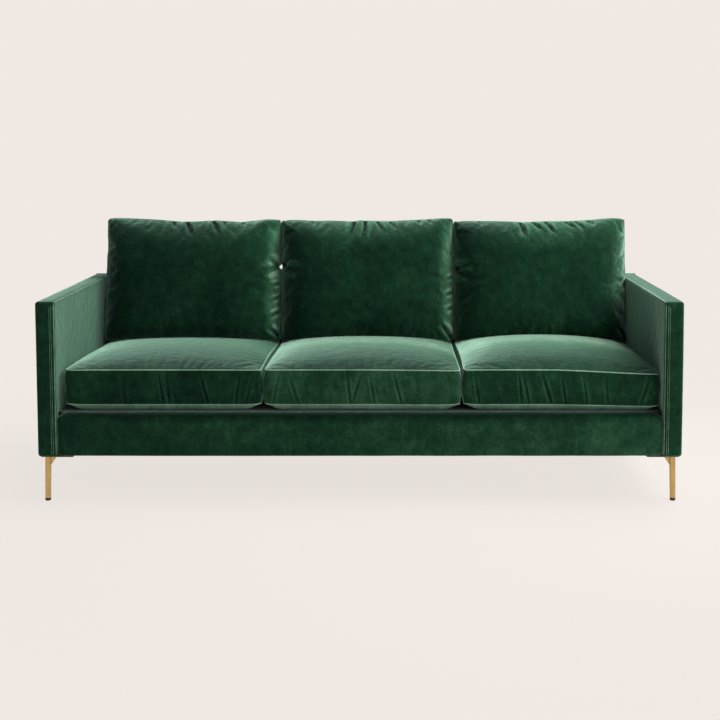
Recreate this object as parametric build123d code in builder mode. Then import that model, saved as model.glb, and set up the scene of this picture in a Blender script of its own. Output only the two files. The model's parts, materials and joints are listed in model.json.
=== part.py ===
from build123d import *

import os
from math import cos, pi, radians, sin, tan

# A three-seat sofa: a padded timber frame on slim metal legs, with loose seat and back cushions.
# Millimetres. +X is the viewer's right, +Y is the back and +Z is up. The origin lies on the floor
# under the middle of the sofa.

# Overall sizes
sofa_width = 2080.0
sofa_depth = 890.0
arm_width = 62.0
leg_height = 152.0  # floor to the underside of the timber
rail_height = 120.4
arm_rise = 362.0  # the arms' tops above the deck that the seat cushions lie on
seat_names = ("left", "middle", "right")

# Padding and covers over the timber
padding = 11.0
cover_radius = 9.0
rail_setback = 7.0  # the front rail's cover stands this far behind the arm fronts
rail_cover_radius = 10.0
rail_lip = 16.0  # how far the rail's cover turns back over the timber
back_panel_thickness = 6.0
back_lean = 9.3  # degrees
back_top_depth = 60.0  # the back's depth at its top edge, panel included
dust_cloth_thickness = 1.0
dust_cloth_inset = 24.0

# Timber
lumber = 28.0
front_post_depth = 60.0
rear_post_depth = 80.0
arm_rail_height = 40.0
arm_bottom_rail_height = 60.0
arm_board_thickness = 4.0
stretcher_drop = 20.4  # the stretchers' tops below the rails' tops, clear of the webbing
stretcher_tenon = 10.0
corner_block_side = 90.0
corner_block_height = 60.0

# Webbing and deck
straps_per_seat = 4
cross_straps = 4
strap_width = 60.0
strap_thickness = 2.0
strap_run_over = 10.0  # a cross strap stays level this far past each strap that it crosses
strap_bearing = 14.0  # how far a strap lies on the rear rail
back_straps = 3
back_strap_gap = 30.0
back_strap_height = 95.0  # lowest back strap's middle, up the slope from the deck
weave_clearance = 0.3
felt_thickness = 2.0
deck_foam_thickness = 13.0
deck_cloth_thickness = 2.0

# Legs, glides and fasteners
leg_top_diameter = 20.0
leg_tip_diameter = 18.5
leg_wall = 1.8
leg_side_inset = 18.0  # leg's axis from the plate's outer edge, at the top
leg_front_inset = 28.0  # leg's axis from the plate's front edge, at the top
leg_splay = 1.0  # degrees, sideways and lengthways alike
plate_length = 106.0
plate_depth = 64.0
plate_thickness = 3.0
plate_clearance = 0.5  # between the plate and the dust cloth
gusset_length = 16.0
gusset_height = 32.0
gusset_thickness = 4.0
gusset_clearance = 0.1  # hairline between the gusset and the tube
plate_overhang = 5.0  # the plate reaches this far past the timber's outer and front faces
glide_lip = 0.5  # the glide stands this far out from the leg's tip
glide_height = 9.0
glide_bevel = 2.5
bolt_diameter = 8.0
bolt_clearance = 0.3
bolt_head_flats = 13.0
bolt_head_height = 5.0
bolt_hole_end = 8.0  # timber left between a bolt's hole and the arm's outer face
bolt_offset = 150.0  # arm bolts stand this far in front of and behind the middle

# Seat cushions
cushion_gap = 1.0  # each cushion's widest point to the line between two cushions
seat_front_setback = 45.0  # cushion's front from the arm fronts
seat_back_gap = 4.0
seat_lift = 0.3  # the cushion's clearance over the deck
seat_seam_low = 16.0  # lower seam above the deck
seat_seam_high = 134.0  # upper seam above the deck
seat_crown = 56.0
seat_bottom_bevel = 26.0  # the lower panel turns up this far in from the side seams
seat_end_crown = 5.0
seat_side_bulge = 6.0
seat_draw_in = 4.0
seat_core_inset = 34.0
seat_core_thickness = 96.0

# Back cushions
back_cushion_height = 423.0
back_cushion_draw_in = 4.0
back_cushion_front = 100.0  # swell in front of the seam
back_cushion_rear = 84.0  # swell behind the seam
back_cushion_end_share = 0.42  # part of the swell that is left at the side seams
back_seat_clearance = 2.0  # lower seam above the seat cushion
back_cushion_gap = 0.5
back_fill_inset = 45.0
back_fill_share = 0.6

# Shape of a cushion's crown: flat in the middle and round towards the seams
crown_power = 2.6
crown_fullness = 0.62
crown_runs = 8  # straight runs from seam to seam, both ways

# Places that several pieces share
half_width = sofa_width / 2
inner_face = half_width - arm_width
timber_outer = half_width - padding
timber_inner = inner_face + padding
front_face = -sofa_depth / 2
back_face = sofa_depth / 2
rear_plane = back_face - back_panel_thickness
arm_timber_front = front_face + padding
arm_timber = timber_outer - timber_inner

weave_step = strap_thickness + weave_clearance
deck_thickness = felt_thickness + deck_foam_thickness + deck_cloth_thickness
rail_top = leg_height + rail_height
deck_bottom = rail_top + 2 * weave_step
deck_height = deck_bottom + deck_thickness
arm_height = deck_height + arm_rise
timber_top = arm_height - padding
post_top = timber_top - arm_rail_height
stretcher_height = rail_height - stretcher_drop
rail_cover_front = front_face + rail_setback
rail_front = rail_cover_front + padding
rail_rear = rail_front + lumber
deck_front = rail_front + rail_lip
rear_rail_front = rear_plane - lumber
side_rail_inner = timber_inner - lumber

plate_outer = timber_outer + plate_overhang
plate_front = rail_front - plate_overhang
plate_centre = (plate_outer - plate_length / 2, plate_front + plate_depth / 2)
plate_bottom = leg_height - plate_thickness
leg_top = (plate_outer - leg_side_inset, plate_front + leg_front_inset)
splay_slope = tan(radians(leg_splay))

lean = radians(back_lean)
lean_padding = padding / cos(lean)
strap_gap = (padding + strap_thickness + 2 * weave_clearance) / cos(lean)
seat_count = len(seat_names)
seat_pitch = 2 * inner_face / seat_count


def back_slope(height):
    """Where the back's padded front face stands, at a height above the floor."""
    return back_face - back_top_depth - (arm_height - height) * tan(lean)


back_plane = Plane(
    origin=(0, back_slope(deck_height), deck_height),
    x_dir=(1, 0, 0),
    z_dir=(0, -cos(lean), sin(lean)),
)


def seat_centre(index):
    """The middle of a seat, across the sofa."""
    return (index - (seat_count - 1) / 2) * seat_pitch


def save(part, name):
    """Labels a finished piece and writes its file."""
    part.label = name
    export_step(part, f"parts/{name}.step")


def save_pair(right, name):
    """Writes a right-hand piece and its mirror image."""
    save(right, f"{name}_right")
    with BuildPart() as left:
        mirror(right, about=Plane.YZ)
    save(left.part, f"{name}_left")


def corner_copies(front_right):
    """A piece at the front right corner, and its mirror images at the other three corners."""
    with BuildPart() as front_left:
        mirror(front_right, about=Plane.YZ)
    with BuildPart() as rear_right:
        mirror(front_right, about=Plane.XZ)
    with BuildPart() as rear_left:
        mirror(front_left.part, about=Plane.XZ)
    return {
        "front_right": front_right,
        "front_left": front_left.part,
        "rear_right": rear_right.part,
        "rear_left": rear_left.part,
    }


def corner_points(points):
    """Points of the front right corner, and their mirror images at the other three corners."""
    return [(side * x, end * y) for x, y in points for side in (-1, 1) for end in (-1, 1)]


# Base frame


def make_front_rail():
    with BuildPart() as front_rail:
        with Locations((0, rail_front, leg_height)):
            Box(2 * timber_inner, lumber, rail_height, align=(Align.CENTER, Align.MIN, Align.MIN))
        with Locations(*stretcher_places(rail_rear - stretcher_tenon)):
            Box(lumber, stretcher_tenon, stretcher_height, align=(Align.CENTER, Align.MIN, Align.MIN),
                mode=Mode.SUBTRACT)
    save(front_rail.part, "front_rail")


def make_rear_rail():
    with BuildPart() as rear_rail:
        with Locations((0, rear_rail_front, leg_height)):
            Box(2 * timber_inner, lumber, rail_height, align=(Align.CENTER, Align.MIN, Align.MIN))
        with Locations(*stretcher_places(rear_rail_front)):
            Box(lumber, stretcher_tenon, stretcher_height, align=(Align.CENTER, Align.MIN, Align.MIN),
                mode=Mode.SUBTRACT)
    save(rear_rail.part, "rear_rail")


def stretcher_places(depth):
    """A point at each line between two seats."""
    between = range(1, seat_count)
    return [(seat_centre(index) - seat_pitch / 2, depth, leg_height) for index in between]


def make_side_rails():
    with BuildPart() as side_rail:
        with BuildSketch(Plane.YZ.offset(side_rail_inner)):
            with Locations((rail_rear, leg_height)):
                Rectangle(rear_rail_front - rail_rear, rail_height, align=(Align.MIN, Align.MIN))
        extrude(amount=lumber)
        drill_bolt_holes()
    save_pair(side_rail.part, "side_rail")


def make_stretchers():
    length = rear_rail_front - rail_rear + 2 * stretcher_tenon
    for place, name in zip(stretcher_places(rail_rear - stretcher_tenon), ("left", "right")):
        with BuildPart() as stretcher:
            with Locations(place):
                Box(lumber, length, stretcher_height, align=(Align.CENTER, Align.MIN, Align.MIN))
        save(stretcher.part, f"stretcher_{name}")


def make_corner_blocks():
    with BuildPart() as front_block:
        with BuildSketch(Plane.XY.offset(leg_height)):
            with BuildLine():
                Polyline(
                    (side_rail_inner, rail_rear),
                    (side_rail_inner, rail_rear + corner_block_side),
                    (side_rail_inner - corner_block_side, rail_rear),
                    close=True,
                )
            make_face()
        extrude(amount=corner_block_height)
    with BuildPart() as rear_block:
        with BuildSketch(Plane.XY.offset(leg_height)):
            with BuildLine():
                Polyline(
                    (side_rail_inner, rear_rail_front),
                    (side_rail_inner - corner_block_side, rear_rail_front),
                    (side_rail_inner, rear_rail_front - corner_block_side),
                    close=True,
                )
            make_face()
        extrude(amount=corner_block_height)
    with BuildPart() as corner_blocks:
        for block in (front_block.part, rear_block.part):
            add(block)
            mirror(block, about=Plane.YZ)
    save(corner_blocks.part, "corner_blocks")


# Arm frames


def bolt_places():
    """The right-hand arm's bolts, seen from the side."""
    height = leg_height + arm_bottom_rail_height / 2
    return [(depth, height) for depth in (-bolt_offset, bolt_offset)]


def drill_bolt_holes():
    """Cuts the arm bolts' holes out of the right-hand timber that is being made."""
    length = timber_outer - bolt_hole_end - side_rail_inner
    with Locations(*[(side_rail_inner, depth, height) for depth, height in bolt_places()]):
        Cylinder(bolt_diameter / 2 + bolt_clearance, length, rotation=(0, 90, 0),
                 align=(Align.CENTER, Align.CENTER, Align.MIN), mode=Mode.SUBTRACT)


def arm_timber_piece(front, rear, bottom, top):
    """One straight member of the right-hand arm frame, between the arm's two padded faces."""
    with BuildPart() as member:
        with BuildSketch(Plane.YZ.offset(timber_inner)):
            with Locations((front, bottom)):
                Rectangle(rear - front, top - bottom, align=(Align.MIN, Align.MIN))
        extrude(amount=arm_timber)
    return member.part


def make_arm_frames():
    post_rear = arm_timber_front + front_post_depth
    rear_post_front = rear_plane - rear_post_depth
    save_pair(arm_timber_piece(arm_timber_front, post_rear, leg_height, post_top), "arm_front_post")
    save_pair(arm_timber_piece(rear_post_front, rear_plane, leg_height, post_top), "arm_rear_post")
    save_pair(arm_timber_piece(arm_timber_front, rear_plane, post_top, timber_top), "arm_top_rail")

    bottom_rail_top = leg_height + arm_bottom_rail_height
    with BuildPart() as bottom_rail:
        add(arm_timber_piece(post_rear, rear_post_front, leg_height, bottom_rail_top))
        drill_bolt_holes()
    save_pair(bottom_rail.part, "arm_bottom_rail")

    with BuildPart() as board:
        with BuildSketch(Plane.YZ.offset(timber_inner)):
            with Locations((post_rear, bottom_rail_top)):
                Rectangle(rear_post_front - post_rear, post_top - bottom_rail_top,
                          align=(Align.MIN, Align.MIN))
        extrude(amount=arm_board_thickness)
    save_pair(board.part, "arm_board")


def make_arm_bolts():
    """Hexagon-headed wood bolts, driven from inside the base into the arms' bottom rails."""
    length = timber_outer - bolt_hole_end - bolt_clearance - side_rail_inner
    with BuildPart() as right_bolts:
        with BuildSketch(Plane.YZ.offset(side_rail_inner)):
            with Locations(*bolt_places()):
                RegularPolygon(bolt_head_flats / 2, 6, major_radius=False)
        extrude(amount=-bolt_head_height)
        with BuildSketch(Plane.YZ.offset(side_rail_inner)):
            with Locations(*bolt_places()):
                Circle(bolt_diameter / 2)
        extrude(amount=length)
    with BuildPart() as bolts:
        add(right_bolts.part)
        mirror(right_bolts.part, about=Plane.YZ)
    save(bolts.part, "arm_bolts")


# Back frame


def behind_slope(height, distance):
    """A point of the side view that lies behind the back's front face."""
    return (back_slope(height) + distance, height)


def make_back_frame():
    with BuildPart() as top_rail:
        with BuildSketch(Plane.YZ):
            with BuildLine():
                Polyline(
                    behind_slope(post_top, strap_gap),
                    behind_slope(timber_top, strap_gap),
                    (rear_plane, timber_top),
                    (rear_plane, post_top),
                    close=True,
                )
            make_face()
        extrude(amount=timber_inner, both=True)
    save(top_rail.part, "back_top_rail")

    end_place = timber_inner - lumber / 2
    inner_place = seat_pitch / 2
    for place, name in ((end_place, "back_end_upright"), (inner_place, "back_middle_upright")):
        with BuildPart() as upright:
            with BuildSketch(Plane.YZ.offset(place)):
                with BuildLine():
                    Polyline(
                        behind_slope(deck_height, strap_gap),
                        behind_slope(post_top, strap_gap),
                        (rear_plane, post_top),
                        (rear_plane, rail_top),
                        (rear_rail_front, rail_top),
                        (rear_rail_front, deck_height),
                        close=True,
                    )
                make_face()
            extrude(amount=lumber / 2, both=True)
        save_pair(upright.part, name)


def make_back_webbing():
    """Elastic straps across the front edges of the back's uprights."""
    spacing = strap_width + back_strap_gap
    rows = [(0, back_strap_height + row * spacing) for row in range(back_straps)]
    with BuildPart() as back_webbing:
        with BuildSketch(back_plane.offset(-padding - weave_clearance)):
            with Locations(*rows):
                Rectangle(2 * inner_face, strap_width)
        extrude(amount=-strap_thickness)
    save(back_webbing.part, "back_webbing")


# Seat webbing and deck


def strap_lines():
    """Where the front-to-back straps lie across the sofa."""
    count = straps_per_seat * seat_count
    pitch = 2 * inner_face / count
    return [(index - (count - 1) / 2) * pitch for index in range(count)]


def make_seat_webbing():
    strap_rear = rear_rail_front + strap_bearing
    with BuildPart() as lengthwise:
        with BuildSketch(Plane.XY.offset(rail_top)):
            with Locations(*[(line, deck_front) for line in strap_lines()]):
                Rectangle(strap_width, strap_rear - deck_front, align=(Align.CENTER, Align.MIN))
        extrude(amount=strap_thickness)
    save(lengthwise.part, "seat_webbing_lengthwise")

    open_span = rear_rail_front - rail_rear
    with BuildPart() as crosswise:
        for row in range(cross_straps):
            depth = rail_rear + open_span * (row + 0.5) / cross_straps
            with BuildSketch(Plane.XZ.offset(-depth - strap_width / 2)):
                with BuildLine():
                    Polyline(*cross_strap_outline(row), close=True)
                make_face()
            extrude(amount=strap_width)
    save(crosswise.part, "seat_webbing_crosswise")


def cross_strap_outline(row):
    """Side view of a cross strap that goes over and under the front-to-back straps in turn."""
    level_half = strap_width / 2 + strap_run_over
    lower = [(-inner_face, rail_top), (-side_rail_inner, rail_top)]
    for index, line in enumerate(strap_lines()):
        over = (index + row) % 2 == 0
        height = rail_top + (weave_step if over else -weave_step)
        lower += [(line - level_half, height), (line + level_half, height)]
    lower += [(side_rail_inner, rail_top), (inner_face, rail_top)]
    upper = [(across, height + strap_thickness) for across, height in lower]
    return lower + upper[::-1]


def make_deck():
    layers = (
        ("deck_felt", felt_thickness),
        ("deck_foam", deck_foam_thickness),
        ("deck_cloth", deck_cloth_thickness),
    )
    bottom = deck_bottom
    for name, thickness in layers:
        with BuildPart() as layer:
            with Locations((0, deck_front, bottom)):
                Box(2 * inner_face, rear_rail_front - deck_front, thickness,
                    align=(Align.CENTER, Align.MIN, Align.MIN))
        save(layer.part, name)
        bottom += thickness


# Padded covers


def back_cavity():
    """Side view of the room behind the back's padding, where the timber stands."""
    Polyline(
        behind_slope(rail_top, lean_padding),
        behind_slope(timber_top, lean_padding),
        (rear_plane, timber_top),
        (rear_plane, rail_top),
        close=True,
    )


def make_arm_covers():
    with BuildPart() as cover:
        with BuildSketch(Plane.YZ.offset(inner_face)):
            with Locations((front_face, leg_height)):
                Rectangle(rear_plane - front_face, arm_height - leg_height, align=(Align.MIN, Align.MIN))
        extrude(amount=arm_width)
        fillet(cover.edges().filter_by(Axis.Z).group_by(Axis.Y)[0], radius=cover_radius)
        top_edges = cover.faces().sort_by(Axis.Z)[-1].edges()
        fillet(top_edges.filter_by(lambda edge: edge.center().Y < rear_plane), radius=cover_radius)
        # The arm's timber goes in from below, and the base and the back reach it through the inner wall.
        with BuildSketch(Plane.YZ.offset(timber_inner)):
            with Locations((arm_timber_front, leg_height)):
                Rectangle(rear_plane - arm_timber_front, timber_top - leg_height,
                          align=(Align.MIN, Align.MIN))
        extrude(amount=arm_timber, mode=Mode.SUBTRACT)
        with BuildSketch(Plane.YZ.offset(inner_face)):
            with Locations((arm_timber_front, leg_height)):
                Rectangle(rear_plane - arm_timber_front, rail_height, align=(Align.MIN, Align.MIN))
            with BuildLine():
                back_cavity()
            make_face()
        extrude(amount=padding, mode=Mode.SUBTRACT)
    save_pair(cover.part, "arm_cover")


def make_front_rail_cover():
    with BuildPart() as cover:
        with BuildSketch(Plane.YZ):
            with BuildLine():
                Polyline(
                    (rail_cover_front, leg_height),
                    (rail_cover_front, deck_height),
                    (deck_front, deck_height),
                    (deck_front, rail_top),
                    (rail_front, rail_top),
                    (rail_front, leg_height),
                    close=True,
                )
            outline = make_face()
            fillet(outline.vertices().group_by(Axis.Z)[-1].sort_by(Axis.Y)[0], radius=rail_cover_radius)
        extrude(amount=inner_face, both=True)
    save(cover.part, "front_rail_cover")


def make_inside_back_cover():
    with BuildPart() as cover:
        with BuildSketch(Plane.YZ):
            with BuildLine():
                Polyline(
                    (back_slope(deck_height), deck_height),
                    (back_slope(arm_height), arm_height),
                    (rear_plane, arm_height),
                    (rear_plane, timber_top),
                    behind_slope(timber_top, lean_padding),
                    behind_slope(deck_height, lean_padding),
                    close=True,
                )
            outline = make_face()
            fillet(outline.vertices().group_by(Axis.Z)[-1].sort_by(Axis.Y)[0], radius=cover_radius)
        extrude(amount=inner_face, both=True)
    save(cover.part, "inside_back_cover")


def make_outside_back_panel():
    with BuildPart() as panel:
        with BuildSketch(Plane.XZ.offset(-back_face)):
            with Locations((0, leg_height)):
                Rectangle(sofa_width, arm_height - leg_height, align=(Align.CENTER, Align.MIN))
        extrude(amount=back_panel_thickness)
        rear_edges = panel.faces().sort_by(Axis.Y)[-1].edges()
        upper_edges = rear_edges.filter_by(lambda edge: edge.center().Z > leg_height)
        fillet(upper_edges, radius=back_panel_thickness / 2)
    save(panel.part, "outside_back_panel")


def make_dust_cover():
    with BuildPart() as cover:
        with BuildSketch(Plane.XY.offset(leg_height - dust_cloth_thickness)):
            Rectangle(sofa_width - 2 * dust_cloth_inset, sofa_depth - 2 * dust_cloth_inset)
            with Locations(*corner_points([plate_centre])):
                Rectangle(plate_length + 2 * plate_clearance, plate_depth + 2 * plate_clearance,
                          mode=Mode.SUBTRACT)
        extrude(amount=dust_cloth_thickness)
    save(cover.part, "dust_cover")


# Legs


def leg_axis(height):
    """Where the front right leg's axis stands, at a height above the floor."""
    drop = (plate_bottom - height) * splay_slope
    return (leg_top[0] + drop, leg_top[1] - drop, height)


def make_leg():
    """A tapered round tube, welded with a gusset to a plate that is screwed under the corner."""
    ends = ((glide_height, leg_tip_diameter), (plate_bottom, leg_top_diameter))
    with BuildPart() as leg:
        for height, diameter in ends:
            with BuildSketch(Plane(leg_axis(height))):
                Circle(diameter / 2)
        loft(ruled=True)
        with BuildSketch(Plane.XY.offset(plate_bottom)):
            with Locations(plate_centre):
                Rectangle(plate_length, plate_depth)
        extrude(amount=plate_thickness)
        gusset_edge = leg_top[0] - leg_top_diameter / 2 - gusset_clearance
        with BuildSketch(Plane.XZ.offset(-leg_top[1])):
            with BuildLine():
                Polyline(
                    (gusset_edge, plate_bottom),
                    (gusset_edge - gusset_length, plate_bottom),
                    (gusset_edge, plate_bottom - gusset_height),
                    close=True,
                )
            make_face()
        extrude(amount=gusset_thickness / 2, both=True)
        for height, diameter in ends:
            with BuildSketch(Plane(leg_axis(height))):
                Circle(diameter / 2 - leg_wall)
        loft(ruled=True, mode=Mode.SUBTRACT)
    return leg.part


def make_glide():
    """A plastic foot that closes the tube's open end."""
    radius = leg_tip_diameter / 2 + glide_lip
    across, depth, floor = leg_axis(0)
    with BuildPart() as glide:
        for height, inset in ((floor, glide_bevel), (glide_bevel, 0), (glide_height, 0)):
            with BuildSketch(Plane((across, depth, height))):
                Circle(radius - inset)
        loft(ruled=True)
    return glide.part


def make_legs():
    for corner, leg in corner_copies(make_leg()).items():
        save(leg, f"leg_{corner}")
    with BuildPart() as glides:
        for glide in corner_copies(make_glide()).values():
            add(glide)
    save(glides.part, "leg_glides")


# Cushions


def crown_places():
    """Places from one seam, at -1, to the other, at 1. They lie closer together towards the seams."""
    return [-cos(pi * run / crown_runs) for run in range(crown_runs + 1)]


def fullness_at(place):
    """How full a cushion is at a place between its seams."""
    return max(0, 1 - abs(place) ** crown_power) ** crown_fullness


def crowned_points(half_length, base, swell):
    """A line of points from seam to seam, which rises by the swell in the middle."""
    return [(half_length * place, base + swell * fullness_at(place)) for place in crown_places()]


seat_front = front_face + seat_front_setback
seat_rear = back_slope(deck_height) - seat_back_gap
seat_middle = (seat_front + seat_rear) / 2
seat_half_depth = (seat_rear - seat_front) / 2


def seat_crown_at(place):
    """The seat cushion's crown over its upper seam, on a line across it."""
    return seat_end_crown + (seat_crown - seat_end_crown) * fullness_at(place)


def make_seat_cushions():
    low = deck_height + seat_seam_low
    high = deck_height + seat_seam_high
    for index, name in enumerate(seat_names):
        with BuildPart() as core:
            with Locations((seat_centre(index), seat_middle, (low + high) / 2)):
                Box(seat_pitch - 2 * seat_core_inset, 2 * (seat_half_depth - seat_core_inset),
                    seat_core_thickness)
        save(core.part, f"seat_cushion_core_{name}")

        with BuildPart() as cover:
            for place in crown_places():
                half = seat_pitch / 2 - cushion_gap - seat_side_bulge - seat_draw_in * fullness_at(place)
                bulge = (half + seat_side_bulge, (low + high) / 2)
                bottom = low - seat_end_crown if abs(place) == 1 else deck_height + seat_lift
                right = [bulge, (half, low), (half - seat_bottom_bevel, bottom)]
                left = [(-x, z) for x, z in reversed(right)]
                section_origin = (seat_centre(index), seat_middle + place * seat_half_depth, 0)
                with BuildSketch(Plane(section_origin, x_dir=(1, 0, 0), z_dir=(0, -1, 0))):
                    with BuildLine():
                        Polyline(*crowned_points(half, high, seat_crown_at(place)), *right, *left, close=True)
                    make_face()
            loft(ruled=True)
            add(core.part, mode=Mode.SUBTRACT)
        save(cover.part, f"seat_cushion_cover_{name}")


back_seam_plane = back_plane.offset(back_cushion_rear + back_cushion_gap)


def back_cushion_rise():
    """How far up the slope a back cushion's lower corners are, so that it clears the seat's crown."""
    seam_foot = back_seam_plane.from_local_coords((0, seat_seam_high / cos(lean), 0))
    crown = seat_crown_at((seam_foot.Y - seat_middle) / seat_half_depth)
    lower_seam = deck_height + seat_seam_high + crown + back_seat_clearance
    return (lower_seam - back_seam_plane.origin.Z) / cos(lean) - back_cushion_draw_in


def back_section_plane(across):
    """Plane of a back cushion's side view: x runs up the slope from its middle, y runs forwards."""
    up_slope = back_cushion_rise() + back_cushion_height / 2
    middle = back_seam_plane.from_local_coords((across, up_slope, 0))
    return Plane(origin=middle, x_dir=back_seam_plane.y_dir, z_dir=(1, 0, 0))


def make_back_cushions():
    half_cushion = seat_pitch / 2 - cushion_gap
    for index, name in enumerate(seat_names):
        centre = seat_centre(index)
        with BuildPart() as fill:
            with BuildSketch(back_section_plane(centre)):
                with BuildLine():
                    half = back_cushion_height / 2 - back_fill_inset
                    ThreePointArc((-half, 0), (0, back_cushion_front * back_fill_share), (half, 0))
                    ThreePointArc((-half, 0), (0, -back_cushion_rear * back_fill_share), (half, 0))
                make_face()
            extrude(amount=half_cushion - back_fill_inset, both=True)
        save(fill.part, f"back_cushion_fill_{name}")

        with BuildPart() as cover:
            for place in crown_places():
                fullness = fullness_at(place)
                swell = back_cushion_end_share + (1 - back_cushion_end_share) * fullness
                half = back_cushion_height / 2 - back_cushion_draw_in * fullness
                front = crowned_points(half, 0, back_cushion_front * swell)
                rear = crowned_points(half, 0, -back_cushion_rear * swell)
                with BuildSketch(back_section_plane(centre + place * half_cushion)):
                    with BuildLine():
                        Polyline(*front, *rear[-2:0:-1], close=True)
                    make_face()
            loft(ruled=True)
            add(fill.part, mode=Mode.SUBTRACT)
        save(cover.part, f"back_cushion_cover_{name}")


def main():
    os.makedirs("parts", exist_ok=True)
    make_front_rail()
    make_rear_rail()
    make_side_rails()
    make_stretchers()
    make_corner_blocks()
    make_arm_frames()
    make_arm_bolts()
    make_back_frame()
    make_back_webbing()
    make_seat_webbing()
    make_deck()
    make_arm_covers()
    make_front_rail_cover()
    make_inside_back_cover()
    make_outside_back_panel()
    make_dust_cover()
    make_legs()
    make_seat_cushions()
    make_back_cushions()


main()
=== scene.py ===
import itertools
import json
import math

import bmesh
import bpy
import numpy as np
from bpy.props import FloatProperty, FloatVectorProperty, PointerProperty
from mathutils import Matrix, Vector, noise
from mathutils.bvhtree import BVHTree

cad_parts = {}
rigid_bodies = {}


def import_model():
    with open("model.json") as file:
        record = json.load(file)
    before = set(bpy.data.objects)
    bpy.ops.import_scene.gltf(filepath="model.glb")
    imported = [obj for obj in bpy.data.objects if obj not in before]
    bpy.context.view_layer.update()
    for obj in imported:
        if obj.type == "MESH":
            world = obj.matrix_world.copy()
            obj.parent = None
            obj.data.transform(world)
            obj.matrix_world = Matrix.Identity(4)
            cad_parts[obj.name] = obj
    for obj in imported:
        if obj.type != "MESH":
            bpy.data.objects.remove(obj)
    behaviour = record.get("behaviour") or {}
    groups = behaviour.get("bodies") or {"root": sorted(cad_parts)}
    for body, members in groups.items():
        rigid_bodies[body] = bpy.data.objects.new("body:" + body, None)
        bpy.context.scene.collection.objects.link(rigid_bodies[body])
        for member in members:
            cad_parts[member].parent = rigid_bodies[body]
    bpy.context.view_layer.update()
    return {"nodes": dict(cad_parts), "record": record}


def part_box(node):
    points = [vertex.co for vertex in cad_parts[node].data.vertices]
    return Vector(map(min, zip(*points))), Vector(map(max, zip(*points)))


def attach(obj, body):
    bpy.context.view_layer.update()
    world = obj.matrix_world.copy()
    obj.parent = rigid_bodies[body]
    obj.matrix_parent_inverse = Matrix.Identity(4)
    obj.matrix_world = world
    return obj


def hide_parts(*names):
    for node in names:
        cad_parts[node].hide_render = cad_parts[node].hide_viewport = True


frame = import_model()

bl_info = {
    "name": "Velvet sofa",
    "version": (1, 0, 0),
    "blender": (4, 5, 0),
    "location": "3D View > Sidebar > Sofa",
    "description": "Velvet, cushions, legs and studio for the sofa's CAD frame",
    "category": "Object",
}

SEATS = ("left", "middle", "right")
SIDES = (("left", -1), ("right", 1))
ENDS = (("front", -1), ("rear", 1))

# Places of the CAD pieces that the covers follow
arm_low, arm_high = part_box("arm_cover_right")
rail_low, rail_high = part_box("front_rail_cover")
back_low, back_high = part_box("inside_back_cover")
panel_low, panel_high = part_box("outside_back_panel")
deck_low, deck_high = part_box("deck_cloth")
dust_low, dust_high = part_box("dust_cover")
seat_low, seat_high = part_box("seat_cushion_cover_middle")
cushion_low, cushion_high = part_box("back_cushion_cover_middle")
leg_low, leg_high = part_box("leg_front_right")
glide_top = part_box("leg_glides")[1].z
seat_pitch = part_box("seat_cushion_cover_right")[0].x - seat_low.x


def length_property(name, description, default):
    return FloatProperty(name=name, description=description, default=default, unit="LENGTH")


def share_property(name, description, default):
    return FloatProperty(name=name, description=description, default=default, min=0.0, max=3.0,
                         subtype="FACTOR")


def colour_property(name, description, colour):
    return FloatVectorProperty(
        name=name, description=description, default=(*colour, 1.0), size=4, min=0.0, max=1.0,
        subtype="COLOR")


class SofaSizes(bpy.types.PropertyGroup):
    """Sizes of the soft covers, the legs and the cushions."""

    arm_edge: length_property("Arm edge", "Radius of the arm cover's edges", 0.010)
    rail_edge: length_property("Rail edge", "Radius of the front rail cover's edges", 0.011)
    rail_corner: length_property("Rail corner", "Radius of the front rail cover's upper corners", 0.027)
    rail_roll: length_property("Rail roll", "Height of the front rail cover's rolled upper edge", 0.026)
    welt: length_property("Welt", "Radius of the welt round the cushions", 0.0022)
    seam_cord: length_property("Seam ridge", "Radius of the arm's seam ridge", 0.0013)
    stitch: length_property("Stitch", "Length of the arm's stitches", 0.0050)
    seat_seam_low: length_property("Lower seam", "Seat cushion's lower seam above the deck", 0.021)
    seat_seam_high: length_property("Upper seam", "Seat cushion's upper seam above the deck", 0.134)
    seat_rake: length_property("Rake", "How far the seat's upper seam falls towards the back", 0.015)
    seat_step: length_property("Seat mesh step", "Spacing of the seat cushion's mesh", 0.0085)
    wrinkle_width: share_property("Wrinkle width", "Width of the boxing's wrinkles against the list", 0.8)
    wrinkle_depth: share_property("Wrinkle depth", "Depth of the boxing's wrinkles against the list", 1.5)
    back_front_swell: length_property("Front swell", "Back cushion's swell in front of its seam", 0.098)
    back_rear_swell: length_property("Rear swell", "Back cushion's swell behind its seam", 0.083)
    back_droop: length_property("Droop", "How far a back cushion's lower corners hang past its solid", 0.038)
    back_sag: length_property("Sag", "How far a back cushion's front hangs down onto the seat", 0.024)
    back_draw_in: length_property("Side draw-in", "How far a back cushion's sides draw in", 0.0004)
    back_step: length_property("Back mesh step", "Spacing of the back cushion's mesh", 0.0062)
    fold_width: share_property("Fold width", "Width of the back cushions' folds against the list", 1.1)
    fold_depth: share_property("Fold depth", "Depth of the back cushions' folds against the list", 1.25)
    back_lean: FloatProperty(
        name="Back lean", description="How far the back leans from upright", default=math.radians(9.3),
        subtype="ANGLE")
    leg_top: length_property("Leg top", "Radius of a leg at its plate", 0.0100)
    leg_tip: length_property("Leg tip", "Radius of a leg at its glide", 0.00925)


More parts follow.
